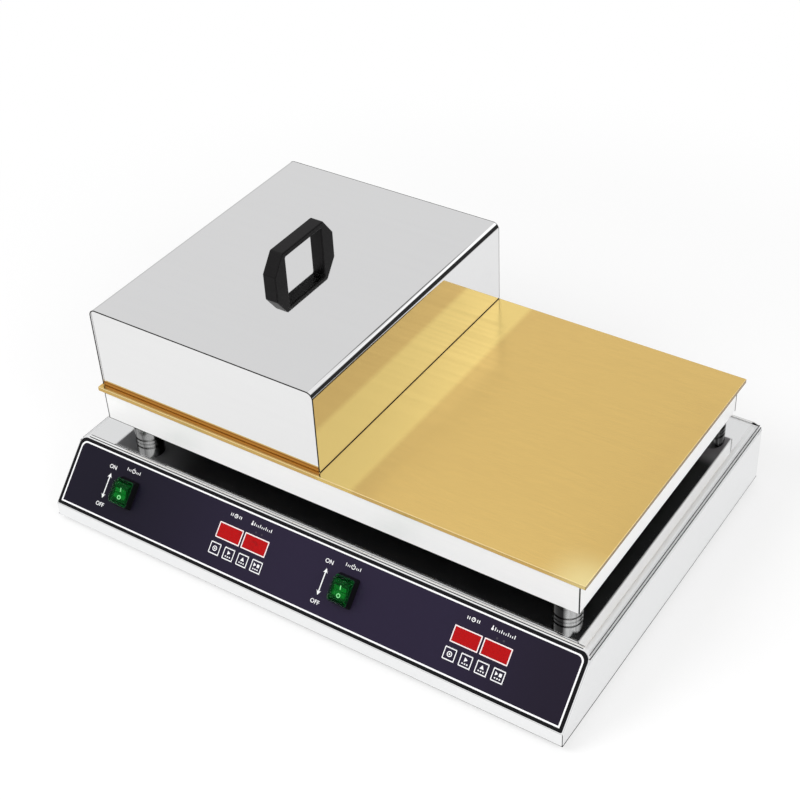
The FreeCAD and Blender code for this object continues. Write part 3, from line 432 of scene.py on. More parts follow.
# film, print and the switches' green
filmLook = {
    "grainScale": 2200.0, "smudgeScale": 12.0, "smudgeCover": 0.5, "colour": (0.0175, 0.0125, 0.032),
    "pitTone": 0.86, "wear": 0.25, "wearColour": (0.020, 0.015, 0.034), "roughness": 0.36, "hazeRoughness": 0.10,
    "bump": 0.10, "gloss": 0.12}
makeAll(mouldedPlastic, filmLook, {
    "borderInk": {"colour": (0.004, 0.004, 0.005), "roughness": 0.3, "wearColour": (0.008, 0.008, 0.009)},
    "redWindow": {"grainScale": 900.0, "colour": (0.41, 0.002, 0.003), "pitTone": 0.80, "wear": 0.8,
                  "wearColour": (0.24, 0.002, 0.003), "smudgeScale": 110.0, "roughness": 0.22},
    "ledLens": {"colour": (0.05, 0.045, 0.06), "roughness": 0.15},
})
panelPaintedShade = [strip((0.42, 0.46, 0.45), "MULTIPLY", X=(-0.50, -0.13, 0.13)),  # painted shade: darker towards both ends, leaving a painted sheen across the middle
             strip((0.70, 0.70, 0.62), "MULTIPLY", X=(0.23, 0.50, 0.07))]
makeAll(mouldedPlastic, {**filmLook, "strips": panelPaintedShade}, {"overlayFilm": {}, "keyFilm": {"roughness": 0.32}})
makeAll(mouldedPlastic, {**filmLook, "pitTone": 0.95, "roughness": 0.42}, {
    "whitePrint": {"colour": (0.86, 0.86, 0.87), "wearColour": (0.78, 0.78, 0.79)},
    "windowPrint": {"colour": (0.88, 0.76, 0.75), "wearColour": (0.80, 0.66, 0.65)},
    "rockerMark": {"colour": (0.90, 0.96, 0.90), "wearColour": (0.80, 0.90, 0.80), "roughness": 0.4},
})
makeAll(mouldedPlastic, {**filmLook, "grainScale": 800.0, "pitTone": 0.9}, {
    # the glow is painted light that lifts the shade on the rocker and in the well round it
    "greenRocker": {"colour": (0.003, 0.042, 0.013), "wearColour": (0.002, 0.033, 0.010), "roughness": 0.25,
                    "glow": (0.0006, 0.009, 0.0025)},
    "wellGreen": {"colour": (0.0025, 0.044, 0.014), "wearColour": (0.002, 0.035, 0.011), "roughness": 0.4,
                  "glow": (0.0008, 0.014, 0.004)},
    "rockerLens": {"colour": (0.007, 0.18, 0.036), "wearColour": (0.005, 0.14, 0.028), "pitTone": 0.88,
                   "roughness": 0.3},
})
clearPlastic("clearCap", {
    "smudgeScale": 120.0, "smudgeCover": 0.5, "colour": (0.50, 0.85, 0.56), "hazeColour": (0.42, 0.78, 0.48),
    "roughness": (0.03, 0.12), "bend": 1.08})
print("materials ready")


# meshes from the frame

def at(x, y, z):
    return Vector((x, y, z))


def pointsOf(node):
    return [vertex.co for vertex in frame["nodes"][node].data.vertices]


def cornersOf(node):
    return [Vector(corner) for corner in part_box(node)]


def mergedMesh(node):
    work = bmesh.new()
    work.from_mesh(frame["nodes"][node].data)
    bmesh.ops.remove_doubles(work, verts=work.verts, dist=weldGap)
    return work


def islandsOf(node):
    # points of each separate solid in a node, in order of place
    work = mergedMesh(node)
    left, found = set(work.verts), []
    while left:
        stack = [left.pop()]
        points = []
        while stack:
            vert = stack.pop()
            points.append(vert.co.copy())
            for edge in vert.link_edges:
                other = edge.other_vert(vert)
                if other in left:
                    left.discard(other)
                    stack.append(other)
        found.append(points)
    work.free()
    return sorted(found, key=lambda points: tuple(round(c, 3) for c in middleOf(points)))


def boxOf(points):
    return (Vector([min(p[i] for p in points) for i in range(3)]),
            Vector([max(p[i] for p in points) for i in range(3)]))


def middleOf(points):
    low, high = boxOf(points)
    return (low + high) / 2


def finishMesh(work, name):
    mesh = bpy.data.meshes.new(name)
    work.to_mesh(mesh)
    work.free()
    return mesh


def addPiece(name, shape, node, finish, replaced=False):
    # a mesh or a bmesh as a piece that rides on the node's body
    mesh = finishMesh(shape, name) if isinstance(shape, bmesh.types.BMesh) else shape
    mesh.materials.clear()
    mesh.materials.append(bpy.data.materials[finish])
    piece = bpy.data.objects.new(name, mesh)
    scene.collection.objects.link(piece)
    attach(piece, frame["nodes"][node]["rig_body"])
    if replaced:
        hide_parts(node)
    return piece


def dress(node, finish, edge, segments=2, flatAngle=0.3, sharpAngle=34.0):
    # a smooth-shaded copy of a solid, with its sharp edges eased
    work = mergedMesh(node)
    bmesh.ops.dissolve_limit(work, angle_limit=math.radians(flatAngle), verts=work.verts, edges=work.edges)
    for face in work.faces:
        face.smooth = True
    for line in work.edges:
        line.smooth = not (line.is_manifold and line.calc_face_angle(0.0) > math.radians(sharpAngle))
    piece = addPiece("dressed_" + node, work, node, finish, True)
    if edge > 0:
        ease = piece.modifiers.new("easedEdges", "BEVEL")
        ease.width, ease.segments, ease.limit_method = edge, segments, "ANGLE"
        ease.angle_limit = math.radians(sharpAngle)
        ease.harden_normals = False
    level = piece.modifiers.new("levelNormals", "WEIGHTED_NORMAL")
    level.keep_sharp, level.weight = True, 80


# each solid's finish, and how far its edges are eased in millimetres
dressing = {
    "base_shell": ("baseSteel", 0.12), "front_panel": ("baseSteel", 0.12), "rear_panel": ("satinSteel", 0.15),
    "bottom_plate": ("satinSteel", 0.15), "lid_shell": ("lidSteel", 0.12), "lid_front_plate": ("lidEndSteel", 0.12),
    "lid_rear_plate": ("lidEndSteel", 0.12), "heater_housing": ("heaterSteel", 0.25),
    "heater_bottom": ("underSteel", 0.1),
    "griddle_plate": ("brassPlate", 0.45), "lid_handle": ("blackHandle", 0.0), "support_legs": ("turnedSteel", 0.25),
    "gland_body": ("blackPlastic", 0.2), "gland_cap": ("blackPlastic", 0.0), "gland_locknut": ("blackPlastic", 0.2),
    "rubber_feet": ("rubberFoot", 0.5), "panel_overlay": ("overlayFilm", 0.0), "lead_sleeves": ("ceramicBlock", 0.3),
}
for side in bothSides:
    dressing["switch_body_" + side] = ("switchBlack", 0.7)
    dressing["switch_rocker_" + side] = ("greenRocker", 0.2)
    dressing["display_windows_" + side] = ("redWindow", 0.15)
    for number in range(1, 5):
        dressing["key_%s_%d" % (side, number)] = ("keyFilm", 0.15)
for node, (finish, edge) in dressing.items():
    dress(node, finish, edge * mm)
print("dressed", len(dressing), "solids")

# solids that keep their own mesh get a finish by slot
slotFinish = {
    "satin_steel": "satinSteel", "plated_steel": "platedSteel", "brass_contacts": "brassContacts",
    "circuit_board": "circuitBoard", "display_case": "displayCase", "element_sheath": "elementSheath",
    "fibre_blanket": "fibreBlanket", "wire_sleeve": "wireSleeve", "ceramic_block": "ceramicBlock",
    "black_plastic": "blackPlastic", "dark_steel": "darkSteel", "turned_steel": "turnedSteel",
    "polished_steel": "baseSteel"}
for part in frame["record"]["subparts"]:
    if part["node"] not in dressing and part["material_slot"] in slotFinish:
        mesh = frame["nodes"][part["node"]].data
        mesh.materials.clear()
        mesh.materials.append(bpy.data.materials[slotFinish[part["material_slot"]]])


# geometry node helpers

def newGrowth(name, lengths, **others):
    inputs = {"Points": "Geometry", **dict.fromkeys(lengths, "Float"), **others, "Finish": "Material"}
    return newTree("GeometryNodeTree", name, inputs, {"Geometry": "Geometry"})


def endGrowth(tree, start, end, grown):
    solid = take(tree, "GeometryNodeRealizeInstances", {"Geometry": grown})
    coated = take(tree, "GeometryNodeSetMaterial", {"Geometry": solid, "Material": start["Finish"]})
    tree.links.new(coated, end.inputs[0])


def joinAll(tree, *geometries):
    joined = tree.nodes.new("GeometryNodeJoinGeometry")
    for geometry in geometries:
        tree.links.new(geometry, joined.inputs[0])
    return joined.outputs[0]


def copyOnto(tree, points, instance, turn):
    return take(tree, "GeometryNodeInstanceOnPoints", {"Points": points, "Instance": instance, "Rotation": turn})


def moved(tree, geometry, shift):
    return take(tree, "GeometryNodeTransform", {"Geometry": geometry, "Translation": shift})


def meshOf(holder):
    # a plain mesh of what an object shows; the object goes
    graph = bpy.context.evaluated_depsgraph_get()
    mesh = bpy.data.meshes.new_from_object(holder.evaluated_get(graph), depsgraph=graph)
    holder.modifiers.clear()
    bpy.data.objects.remove(holder)
    return mesh


def grow(tree, points, finish, values, facing=None, edges=()):
    # runs a tree on a few points or a path and gives back a plain mesh
    seed = bpy.data.meshes.new("growPoints")
    seed.from_pydata([tuple(point) for point in points], list(edges), [])
    if facing:
        ways = seed.attributes.new("facing", "FLOAT_VECTOR", "POINT")
        for item, way in zip(ways.data, facing):
            item.vector = way
    holder = bpy.data.objects.new("growPoints", seed)
    scene.collection.objects.link(holder)
    change = holder.modifiers.new("grow", "NODES")
    change.node_group = tree
    values = {**values, "Finish": bpy.data.materials[finish]}
    for item in tree.interface.items_tree:
        if item.in_out == "INPUT" and item.name in values:
            change[item.identifier] = values[item.name]
    return meshOf(holder)


def makeFrameTree():
    # a printed outline round each window or key, lying on the tilted panel
    tree, start, end = newGrowth("printedFrames", ("Width", "Height", "Line", "Round", "Rise", "Tilt"))
    twice = times(tree, start["Line"], 2.0)
    loops = []
    for inner in (False, True):
        width, height, corner = start["Width"], start["Height"], start["Round"]
        if inner:
            width, height = calc(tree, "SUBTRACT", width, twice), calc(tree, "SUBTRACT", height, twice)
            corner = times(tree, corner, 0.5)
        four = take(tree, "GeometryNodeCurvePrimitiveQuadrilateral", {"Width": width, "Height": height})
        eased = take(tree, "GeometryNodeFilletCurve", {"Curve": four, "Radius": corner, "Count": 4}, mode="POLY")
        loops.append(eased)
    flat = take(tree, "GeometryNodeFillCurve", {"Curve": joinAll(tree, *loops)}, mode="NGONS")
    raised = take(tree, "GeometryNodeExtrudeMesh", {"Mesh": flat, "Offset Scale": start["Rise"], "Individual": False})
    under = take(tree, "GeometryNodeFlipFaces", {"Mesh": flat})
    closed = joinAll(tree, raised, under)
    sealed = take(tree, "GeometryNodeMergeByDistance", {"Geometry": closed, "Distance": weldGap})
    tilt = take(tree, "ShaderNodeCombineXYZ", {"X": start["Tilt"]})
    turn = take(tree, "FunctionNodeEulerToRotation", {0: tilt})
    endGrowth(tree, start, end, copyOnto(tree, start["Points"], sealed, turn))
    return tree


def makeScrewTree():
    # a pan head with a cross recess on a plain shank, one at each point, looking along its facing
    pan = {"sides": 28, "rings": 4, "curve": 2.6, "drop": -0.55, "armLength": 1.15, "armWidth": 0.26, "stemSides": 16}
    tree, start, end = newGrowth("panHeadScrews", ("Head Radius", "Head Height", "Shank Radius", "Shank Length",
                                                   "Recess"))
    radius, rise, length = start["Head Radius"], start["Head Height"], start["Shank Length"]
    drum = take(tree, "GeometryNodeMeshCylinder", {"Vertices": pan["sides"], "Side Segments": 1,
                                                   "Fill Segments": pan["rings"], "Radius": radius, "Depth": rise})
    place = take(tree, "GeometryNodeInputPosition")
    apart = put(tree, "ShaderNodeSeparateXYZ", {0: place}).outputs
    level = take(tree, "ShaderNodeCombineXYZ", {"X": apart[0], "Y": apart[1]})
    reach = take(tree, "ShaderNodeVectorMath", {0: level}, operation="LENGTH", out="Value")
    curve = calc(tree, "POWER", calc(tree, "DIVIDE", reach, radius), pan["curve"])
    drop = times(tree, curve, times(tree, rise, pan["drop"]))
    upper = calc(tree, "GREATER_THAN", apart[2], 0.0)
    dome = take(tree, "GeometryNodeSetPosition", {"Geometry": drum, "Selection": upper, "Offset": upBy(tree, drop)})
    head = moved(tree, dome, upBy(tree, times(tree, rise, 0.5)))
    cutter = put(tree, "GeometryNodeMeshBoolean", {0: head}, operation="DIFFERENCE", solver="EXACT")
    broad, thin = times(tree, radius, pan["armLength"]), times(tree, radius, pan["armWidth"])
    deep = times(tree, start["Recess"], 2.0)
    for first, second in ((broad, thin), (thin, broad)):
        size = take(tree, "ShaderNodeCombineXYZ", {"X": first, "Y": second, "Z": deep})
        arm = take(tree, "GeometryNodeMeshCube", {"Size": size})
        tree.links.new(moved(tree, arm, upBy(tree, rise)), cutter.inputs[1])
    shank = take(tree, "GeometryNodeMeshCylinder", {"Vertices": pan["stemSides"], "Radius": start["Shank Radius"],
                                                    "Depth": length})
    stem = moved(tree, shank, upBy(tree, times(tree, length, -0.5)))
    whole = joinAll(tree, cutter.outputs[0], stem)
    way = take(tree, "GeometryNodeInputNamedAttribute", {"Name": "facing"}, data_type="FLOAT_VECTOR")
    turn = take(tree, "FunctionNodeAlignRotationToVector", {"Vector": way}, axis="Z")
    endGrowth(tree, start, end, copyOnto(tree, start["Points"], whole, turn))
    return tree


def makeBeadTree():
    # a thin round bead along a path of edges
    tree, start, end = newGrowth("seamBeads", ("Radius",), Sides="Int")
    path = take(tree, "GeometryNodeMeshToCurve", {"Mesh": start["Points"]})
    ring = take(tree, "GeometryNodeCurvePrimitiveCircle", {"Resolution": start["Sides"], "Radius": start["Radius"]})
    tube = take(tree, "GeometryNodeCurveToMesh", {"Curve": path, "Profile Curve": ring, "Fill Caps": True})
    soft = take(tree, "GeometryNodeSetShadeSmooth", {"Geometry": tube, "Shade Smooth": True})
    endGrowth(tree, start, end, soft)
    return tree


frameTree = makeFrameTree()
screwTree = makeScrewTree()
beadTree = makeBeadTree()


# cover screws, with a cross recess in each head

def makeCoverScrews():
    screw = {"Head Radius": 3.8 * mm, "Head Height": 2.2 * mm, "Shank Radius": 1.9 * mm, "Shank Length": 5.0 * mm,
             "Recess": 1.1 * mm}
    places, facing = [], []
    for points in islandsOf("cover_screws"):
        low, high = boxOf(points)
        middle = (low + high) / 2
        rear = high.y - low.y < high.z - low.z and high.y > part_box("rear_panel")[1][1]
        if rear:
            places.append(at(middle.x, high.y - screw["Head Height"], middle.z))
            facing.append((0.0, 1.0, 0.0))
        else:
            places.append(at(middle.x, middle.y, low.z + screw["Head Height"]))
            facing.append((0.0, 0.0, -1.0))
    mesh = grow(screwTree, places, "platedSteel", screw, facing)
    addPiece("crossHeadScrews", mesh, "cover_screws", "platedSteel", True)
    print("cover screws", len(places))


makeCoverScrews()


# flat shapes for printing, in millimetres, turning left

def onArc(x, y, radius, turn):
    return x + radius * math.cos(turn), y + radius * math.sin(turn)


def discLoop(x, y, radius, steps=22):
    return [onArc(x, y, radius, math.tau * i / steps) for i in range(steps)]


def barLoop(x0, y0, x1, y1, width):
    way = Vector((x1 - x0, y1 - y0)).normalized() * width / 2
    return [(x0 + way.y, y0 - way.x), (x1 + way.y, y1 - way.x), (x1 - way.y, y1 + way.x), (x0 - way.y, y0 + way.x)]


def uprightBars(places, low, width, highOf):
    return [barLoop(x, low, x, highOf(x), width) for x in places]


def arcLoop(x, y, radius, width, start, stop, steps=20):
    turns = [math.radians(start + (stop - start) * i / steps) for i in range(steps + 1)]
    return ([onArc(x, y, radius + width / 2, turn) for turn in turns]
            + [onArc(x, y, radius - width / 2, turn) for turn in reversed(turns)])


def roundLoop(half, low, high, lowRadius, topRadius, steps=8):
    corners = [(half - lowRadius, low + lowRadius, lowRadius, -90), (half - topRadius, high - topRadius, topRadius, 0),
               (topRadius - half, high - topRadius, topRadius, 90), (lowRadius - half, low + lowRadius, lowRadius, 180)]
    return [onArc(x, y, radius, math.radians(turn + 90 * i / steps))
            for x, y, radius, turn in corners for i in range(steps + 1)]


def moveLoop(loop, x, y):
    return [(px + x, py + y) for px, py in loop]


# where the panel lies: u along it, v up it from the lower bend, height straight out of it

panelFoot = at(0.0, -0.2345, 0.0235)
pressWay = Vector(next(joint for joint in frame["joints"] if joint["name"] == "right_key_1_press")["axis"]).normalized()
outward = -pressWay
along = at(1.0, 0.0, 0.0)
upward = outward.cross(along)
panelTilt = math.atan2(upward.z, upward.y)
ink = {"rise": 0.04 * mm, "sink": 0.02 * mm}
inkLayer = {"Rise": ink["rise"] + ink["sink"], "Tilt": panelTilt}


def onPanel(u, v, height):
    return along * (u * mm) + upward * (v * mm + panelFoot.dot(upward)) + outward * height


def topOf(node):
    return max(point.dot(outward) for point in pointsOf(node))


def climbOf(points):
    # lowest and highest v of some points
    ups = [point.dot(upward) - panelFoot.dot(upward) for point in points]
    return min(ups) / mm, max(ups) / mm


def panelSpot(points):
    # u and v of the middle of a solid that stands on the panel
    wide = [point.x for point in points]
    return (min(wide) + max(wide)) / 2 / mm, sum(climbOf(points)) / 2


def bridge(work, rows):
    # side faces between neighbouring rows of points
    for first, second in zip(rows, rows[1:]):
        for i in range(len(first)):
            j = (i + 1) % len(first)
            work.faces.new((first[i], first[j], second[j], second[i]))


def addSlab(work, loop, low, high, place=onPanel):
    lower, upper = ([work.verts.new(place(u, v, height)) for u, v in loop] for height in (low, high))
    work.faces.new(upper)
    work.faces.new(lower[::-1])
    bridge(work, [lower, upper])


def addRing(work, outer, inner, low, high, place=onPanel):
    rows = [[work.verts.new(place(u, v, height)) for u, v in loop]
            for loop, height in ((outer, low), (outer, high), (inner, high), (inner, low))]
    bridge(work, rows + rows[:1])


def addBand(work, outer, inner, top):
    addRing(work, outer, inner, top - ink["sink"], top + ink["rise"])


def addMark(work, loops, u, v, top):
    for loop in loops:
        addSlab(work, moveLoop(loop, u, v), top - ink["sink"], top + ink["rise"])


def addWord(work, word, u, v, height, top):
    font = bpy.data.curves.new("word", "FONT")
    font.body, font.align_x, font.extrude, font.resolution_u = word, "CENTER", 0.5, 3
    font.offset = 0.012  # a little bolder
    holder = bpy.data.objects.new("word", font)
    scene.collection.objects.link(holder)
    mesh = meshOf(holder)
    low, high = boxOf([vertex.co for vertex in mesh.vertices])
    size, middle = height / (high.y - low.y), (low + high) / 2
    for vertex in mesh.vertices:
        x, y, z = (vertex.co - middle) * size
        deep = -ink["sink"] if z < 0 else ink["rise"]
        vertex.co = onPanel(u + x, v + y, top + deep)
    work.from_mesh(mesh)
    bpy.data.meshes.remove(mesh)


# border, pinstripe, scales and signs on the overlay

def arrowLoop(low, high, head, line):
    # a thin shaft with a head at each end; the heads' barbs sweep back a little
    barb, neck, half = 1.9 * head, 1.5 * head, line / 2
    return [(-head, low + barb), (0, low), (head, low + barb), (half, low + neck), (half, high - neck),
            (head, high - barb), (0, high), (-head, high - barb), (-half, high - neck), (-half, low + neck)]


def powerSign():
    letters = uprightBars((-8.6, -6.2, -4.2, 4.2, 6.2, 8.6), -1.7, 0.85, lambda x: 1.7 if abs(x) > 8 else 0.4)
    return [arcLoop(0, 0, 2.1, 0.8, 125, 415), barLoop(0, 0.4, 0, 3.1, 0.8)] + letters


def clockSign():
    letters = uprightBars((-6.6, -4.4, 4.4, 6.6), -1.5, 0.85, lambda x: 1.5)
    return [arcLoop(0, 0, 1.9, 0.75, 0, 359.9, 28), barLoop(0, -0.3, 0, 1.5, 0.6),
            barLoop(0.3, 0, 1.4, 0, 0.6)] + letters


def heatSign():
    first, pitch = -9.0, 2.4
    marks = [barLoop(first + pitch * i, -1.7, first + pitch * i, 1.7 if i % 3 == 0 else 0.3, 0.85) for i in range(10)]
    return [discLoop(-12.0, -0.9, 1.25), barLoop(-12.0, 0.1, -12.0, 2.6, 1.1)] + marks


def makePanelPrint():
    edge = {"inset": 0.12, "stripeInset": 3.7, "stripe": 1.7, "stripeLift": 0.01 * mm, "topRadius": 9.0,
            "lowRadius": 1.5, "leastRadius": 0.6, "tighten": 0.55}
    signs = {"switchShift": -27.8, "onRise": 62.4, "offRise": 19.0, "wordHeight": 4.6, "arrowLow": 26.0,
             "arrowHigh": 55.0, "arrowLine": 1.3, "arrowHead": 2.7, "powerRise": 66.7, "timerShift": -16.2,
             "heatShift": 17.2, "signRise": 66.7, "lampShift": (13.0, 20.4), "lampRise": 59.2, "lampRadius": 1.1}
    top = topOf("panel_overlay")
    low, high = climbOf(pointsOf("panel_overlay"))
    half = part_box("panel_overlay")[1][0] / mm

    def inset(by):
        return roundLoop(half - by, low + by, high - by, max(edge["lowRadius"] - by, edge["leastRadius"]),
                         max(edge["topRadius"] - by * edge["tighten"], edge["leastRadius"]), 12)

    border, printing, lamps = bmesh.new(), bmesh.new(), bmesh.new()
    stripe = edge["stripeInset"]
    addBand(border, inset(edge["inset"]), inset(stripe + edge["stripe"] * 0.5), top)
    addBand(printing, inset(stripe), inset(stripe + edge["stripe"]), top + edge["stripeLift"])
    for side in bothSides:
        switchU = panelSpot(pointsOf("switch_cap_" + side))[0]
        u = switchU + signs["switchShift"]
        addWord(printing, "ON", u, signs["onRise"], signs["wordHeight"], top)
        addWord(printing, "OFF", u, signs["offRise"], signs["wordHeight"], top)
        arrow = arrowLoop(signs["arrowLow"], signs["arrowHigh"], signs["arrowHead"], signs["arrowLine"])
        addMark(printing, [arrow], u, 0, top)
        addMark(printing, powerSign(), switchU, signs["powerRise"], top)
        windows = [panelSpot(points) for points in islandsOf("display_windows_" + side)]
        middle = sum(spot[0] for spot in windows) / len(windows)
        addMark(printing, clockSign(), middle + signs["timerShift"], signs["signRise"], top)
        addMark(printing, heatSign(), middle + signs["heatShift"], signs["signRise"], top)
        for shift in signs["lampShift"]:
            addMark(lamps, [discLoop(0, 0, signs["lampRadius"])], middle + shift, signs["lampRise"], top)
    addPiece("borderInkBand", border, "panel_overlay", "borderInk")
    addPiece("panelSigns", printing, "panel_overlay", "whitePrint")
    addPiece("lampLenses", lamps, "panel_overlay", "ledLens")


def makeWindowFrames():
    outline = {"Width": 31.2 * mm, "Height": 17.4 * mm, "Line": 1.15 * mm, "Round": 0.5 * mm}
    top = topOf("panel_overlay")
    spots = [panelSpot(points) for side in bothSides for points in islandsOf("display_windows_" + side)]
    mesh = grow(frameTree, [onPanel(u, v, top - ink["sink"]) for u, v in spots], "windowPrint", {**outline, **inkLayer})
    addPiece("windowFrames", mesh, "panel_overlay", "windowPrint")
    print("window frames", len(spots))


# each key's outline and sign ride on the key

def makeKeyPrint():
    outline = {"Width": 13.3 * mm, "Height": 12.7 * mm, "Line": 0.95 * mm, "Round": 0.9 * mm}
    skin = 0.02 * mm
    underline = [barLoop(x, -2.9, x + 1.5, -2.9, 1.3) for x in (-3.4, -0.75, 1.9)]
    keySigns = {
        1: [arcLoop(0, 0, 2.4, 0.9, 0, 359.9, 26), discLoop(0, 0, 0.9)],
        2: [[(-1.6, -0.9), (2.0, 1.3), (-1.6, 3.5)]] + underline,
        3: [[(-2.3, -0.6), (2.3, -0.6), (0.0, 3.3)]] + underline,
        4: [[(-3.6, -0.7), (-0.6, 1.4), (-3.6, 3.5)], [(0.7, -0.4), (3.6, -0.4), (3.6, 3.0), (0.7, 3.0)]] + underline,
    }
    for side in bothSides:
        for number, loops in keySigns.items():
            node = "key_%s_%d" % (side, number)
            top = topOf(node)
            u, v = panelSpot([point for point in pointsOf(node) if point.dot(outward) > top - skin])
            mesh = grow(frameTree, [onPanel(u, v, top - ink["sink"])], "whitePrint", {**outline, **inkLayer})
            work = bmesh.new()
            work.from_mesh(mesh)
            bpy.data.meshes.remove(mesh)
            addMark(work, loops, u, v, top)
            addPiece("keyPrint_%s_%d" % (side, number), work, node, "whitePrint")


# the lenses on the two slopes of each rocker, with their raised I and O

def slopesOf(work):
    # the two widest faces that look out of the panel, the lower one first
    level, out = 0.01, 0.8
    slopes = {}
    for face in work.faces:
        if abs(face.normal.x) < level and face.normal.dot(outward) > out:
            slopes.setdefault(tuple(round(c, 2) for c in face.normal), []).append(face)
    wide = sorted(slopes.values(), key=lambda faces: -sum(face.calc_area() for face in faces))[:2]
    return sorted(wide, key=lambda faces: sum(face.calc_center_median().dot(upward) for face in faces) / len(faces))


def makeRockerMarks():
    mark = {"bar": (1.1, 4.6), "ring": 1.9, "ringLine": 0.9, "rise": 0.30 * mm, "sink": 0.05 * mm}
    lens = {"wide": 14.6, "rise": 0.2 * mm, "lift": 0.3, "trim": 3.4}  # trim shortens the outer ends
    for side in bothSides:
        node = "switch_rocker_" + side
        work = mergedMesh(node)
        marks, lenses = bmesh.new(), bmesh.new()
        for faces, upper in zip(slopesOf(work), (False, True)):
            points = [vertex.co.copy() for face in faces for vertex in face.verts]
            slopeOut = faces[0].normal.copy()
            slopeUp = slopeOut.cross(along)
            ups = [p.dot(slopeUp) for p in points]
            middle = along * ((min(p.x for p in points) + max(p.x for p in points)) / 2)
            middle += slopeUp * (min(ups) + max(ups)) / 2 + slopeOut * points[0].dot(slopeOut)

            def onSlope(x, y, height, middle=middle, slopeUp=slopeUp, slopeOut=slopeOut):
                return middle + along * (x * mm) + slopeUp * (y * mm) + slopeOut * height

            reach, half = (max(ups) - min(ups)) / 2 / mm, lens["wide"] / 2
            lower = -reach + lens["lift" if upper else "trim"]
            higher = reach - lens["trim" if upper else "lift"]
            addSlab(lenses, [(-half, lower), (half, lower), (half, higher), (-half, higher)], -mark["sink"],
                    lens["rise"], onSlope)
            if upper:
                tall = mark["bar"][1] / 2
                addSlab(marks, barLoop(0, -tall, 0, tall, mark["bar"][0]), -mark["sink"], mark["rise"], onSlope)
            else:
                far, close = mark["ring"] + mark["ringLine"] / 2, mark["ring"] - mark["ringLine"] / 2
                addRing(marks, discLoop(0, 0, far, 28), discLoop(0, 0, close, 28), -mark["sink"], mark["rise"], onSlope)
        work.free()
        addPiece("rockerLens_" + side, lenses, node, "rockerLens")
        addPiece("rockerMarks_" + side, marks, node, "rockerMark")


# the well round each rocker takes the rocker's green, which carries a faint painted glow that lifts the well's shade

def tintWells():
    well = {"wide": 9.8, "tall": 12.7}
    floor = topOf("panel_overlay")
    for side in bothSides:
        u, v = panelSpot(pointsOf("switch_body_" + side))
        mesh = bpy.data.objects["dressed_switch_body_" + side].data
        mesh.materials.append(bpy.data.materials["wellGreen"])
        for face in mesh.polygons:
            faceU, faceV = panelSpot([face.center])
            inside = abs(faceU - u) < well["wide"] and abs(faceV - v) < well["tall"]
            if inside and face.center.dot(outward) > floor:
                face.material_index = 1


# soft clear dome over each rocker

def makeCapDomes():
    cap = {"width": 22.8, "tall": 28.8, "rise": 9.0, "draft": 2.0, "corner": 4.4, "leastCorner": 0.6, "edge": 2.8,
           "wall": 1.0, "steps": 6}

    def rowsOf(inset, edge):
        rise, rows = cap["rise"] - inset, []
        for step in range(-1, cap["steps"] + 1):
            turn = math.pi / 2 * max(step, 0) / cap["steps"]
            height = 0.0 if step < 0 else rise - edge + edge * math.sin(turn)
            bend = edge * (1 - math.cos(turn))
            pull = inset + cap["draft"] * height / cap["rise"] + bend
            half, tall = cap["width"] / 2 - pull, cap["tall"] / 2 - pull
            corner = max(cap["corner"] - inset - 0.5 * bend, cap["leastCorner"])
            rows.append((roundLoop(half, -tall, tall, corner, corner, 6), height * mm))
        return rows

    for side in bothSides:
        node = "switch_cap_" + side
        points = pointsOf(node)
        u, v = panelSpot(points)
        foot = min(point.dot(outward) for point in points)
        work = bmesh.new()
        outer, inner = ([[work.verts.new(onPanel(x, y, foot + height)) for x, y in moveLoop(loop, u, v)]
                         for loop, height in rowsOf(inset, edge)]
                        for inset, edge in ((0.0, cap["edge"]), (cap["wall"], cap["edge"] - cap["wall"])))
        bridge(work, inner[::-1] + outer)
        work.faces.new(outer[-1])
        work.faces.new(inner[-1][::-1])
        for face in work.faces:
            face.smooth = True
        addPiece("capDome_" + side, work, node, "clearCap", True)


def addBeads(name, paths, radius, node, finish="seamDark"):
    # paths are lists of points; all of them make one piece
    points, edges = [], []
    for path in paths:
        first = len(points)
        points += path
        edges += [(first + i, first + i + 1) for i in range(len(path) - 1)]
    mesh = grow(beadTree, points, finish, {"Radius": radius, "Sides": 8}, None, edges)
    addPiece(name, mesh, node, finish)


# beads on the cover: dark seams round each end plate, a dark line of painted shade along the foot of the sides, and
# painted brown shade in the gap under each end plate

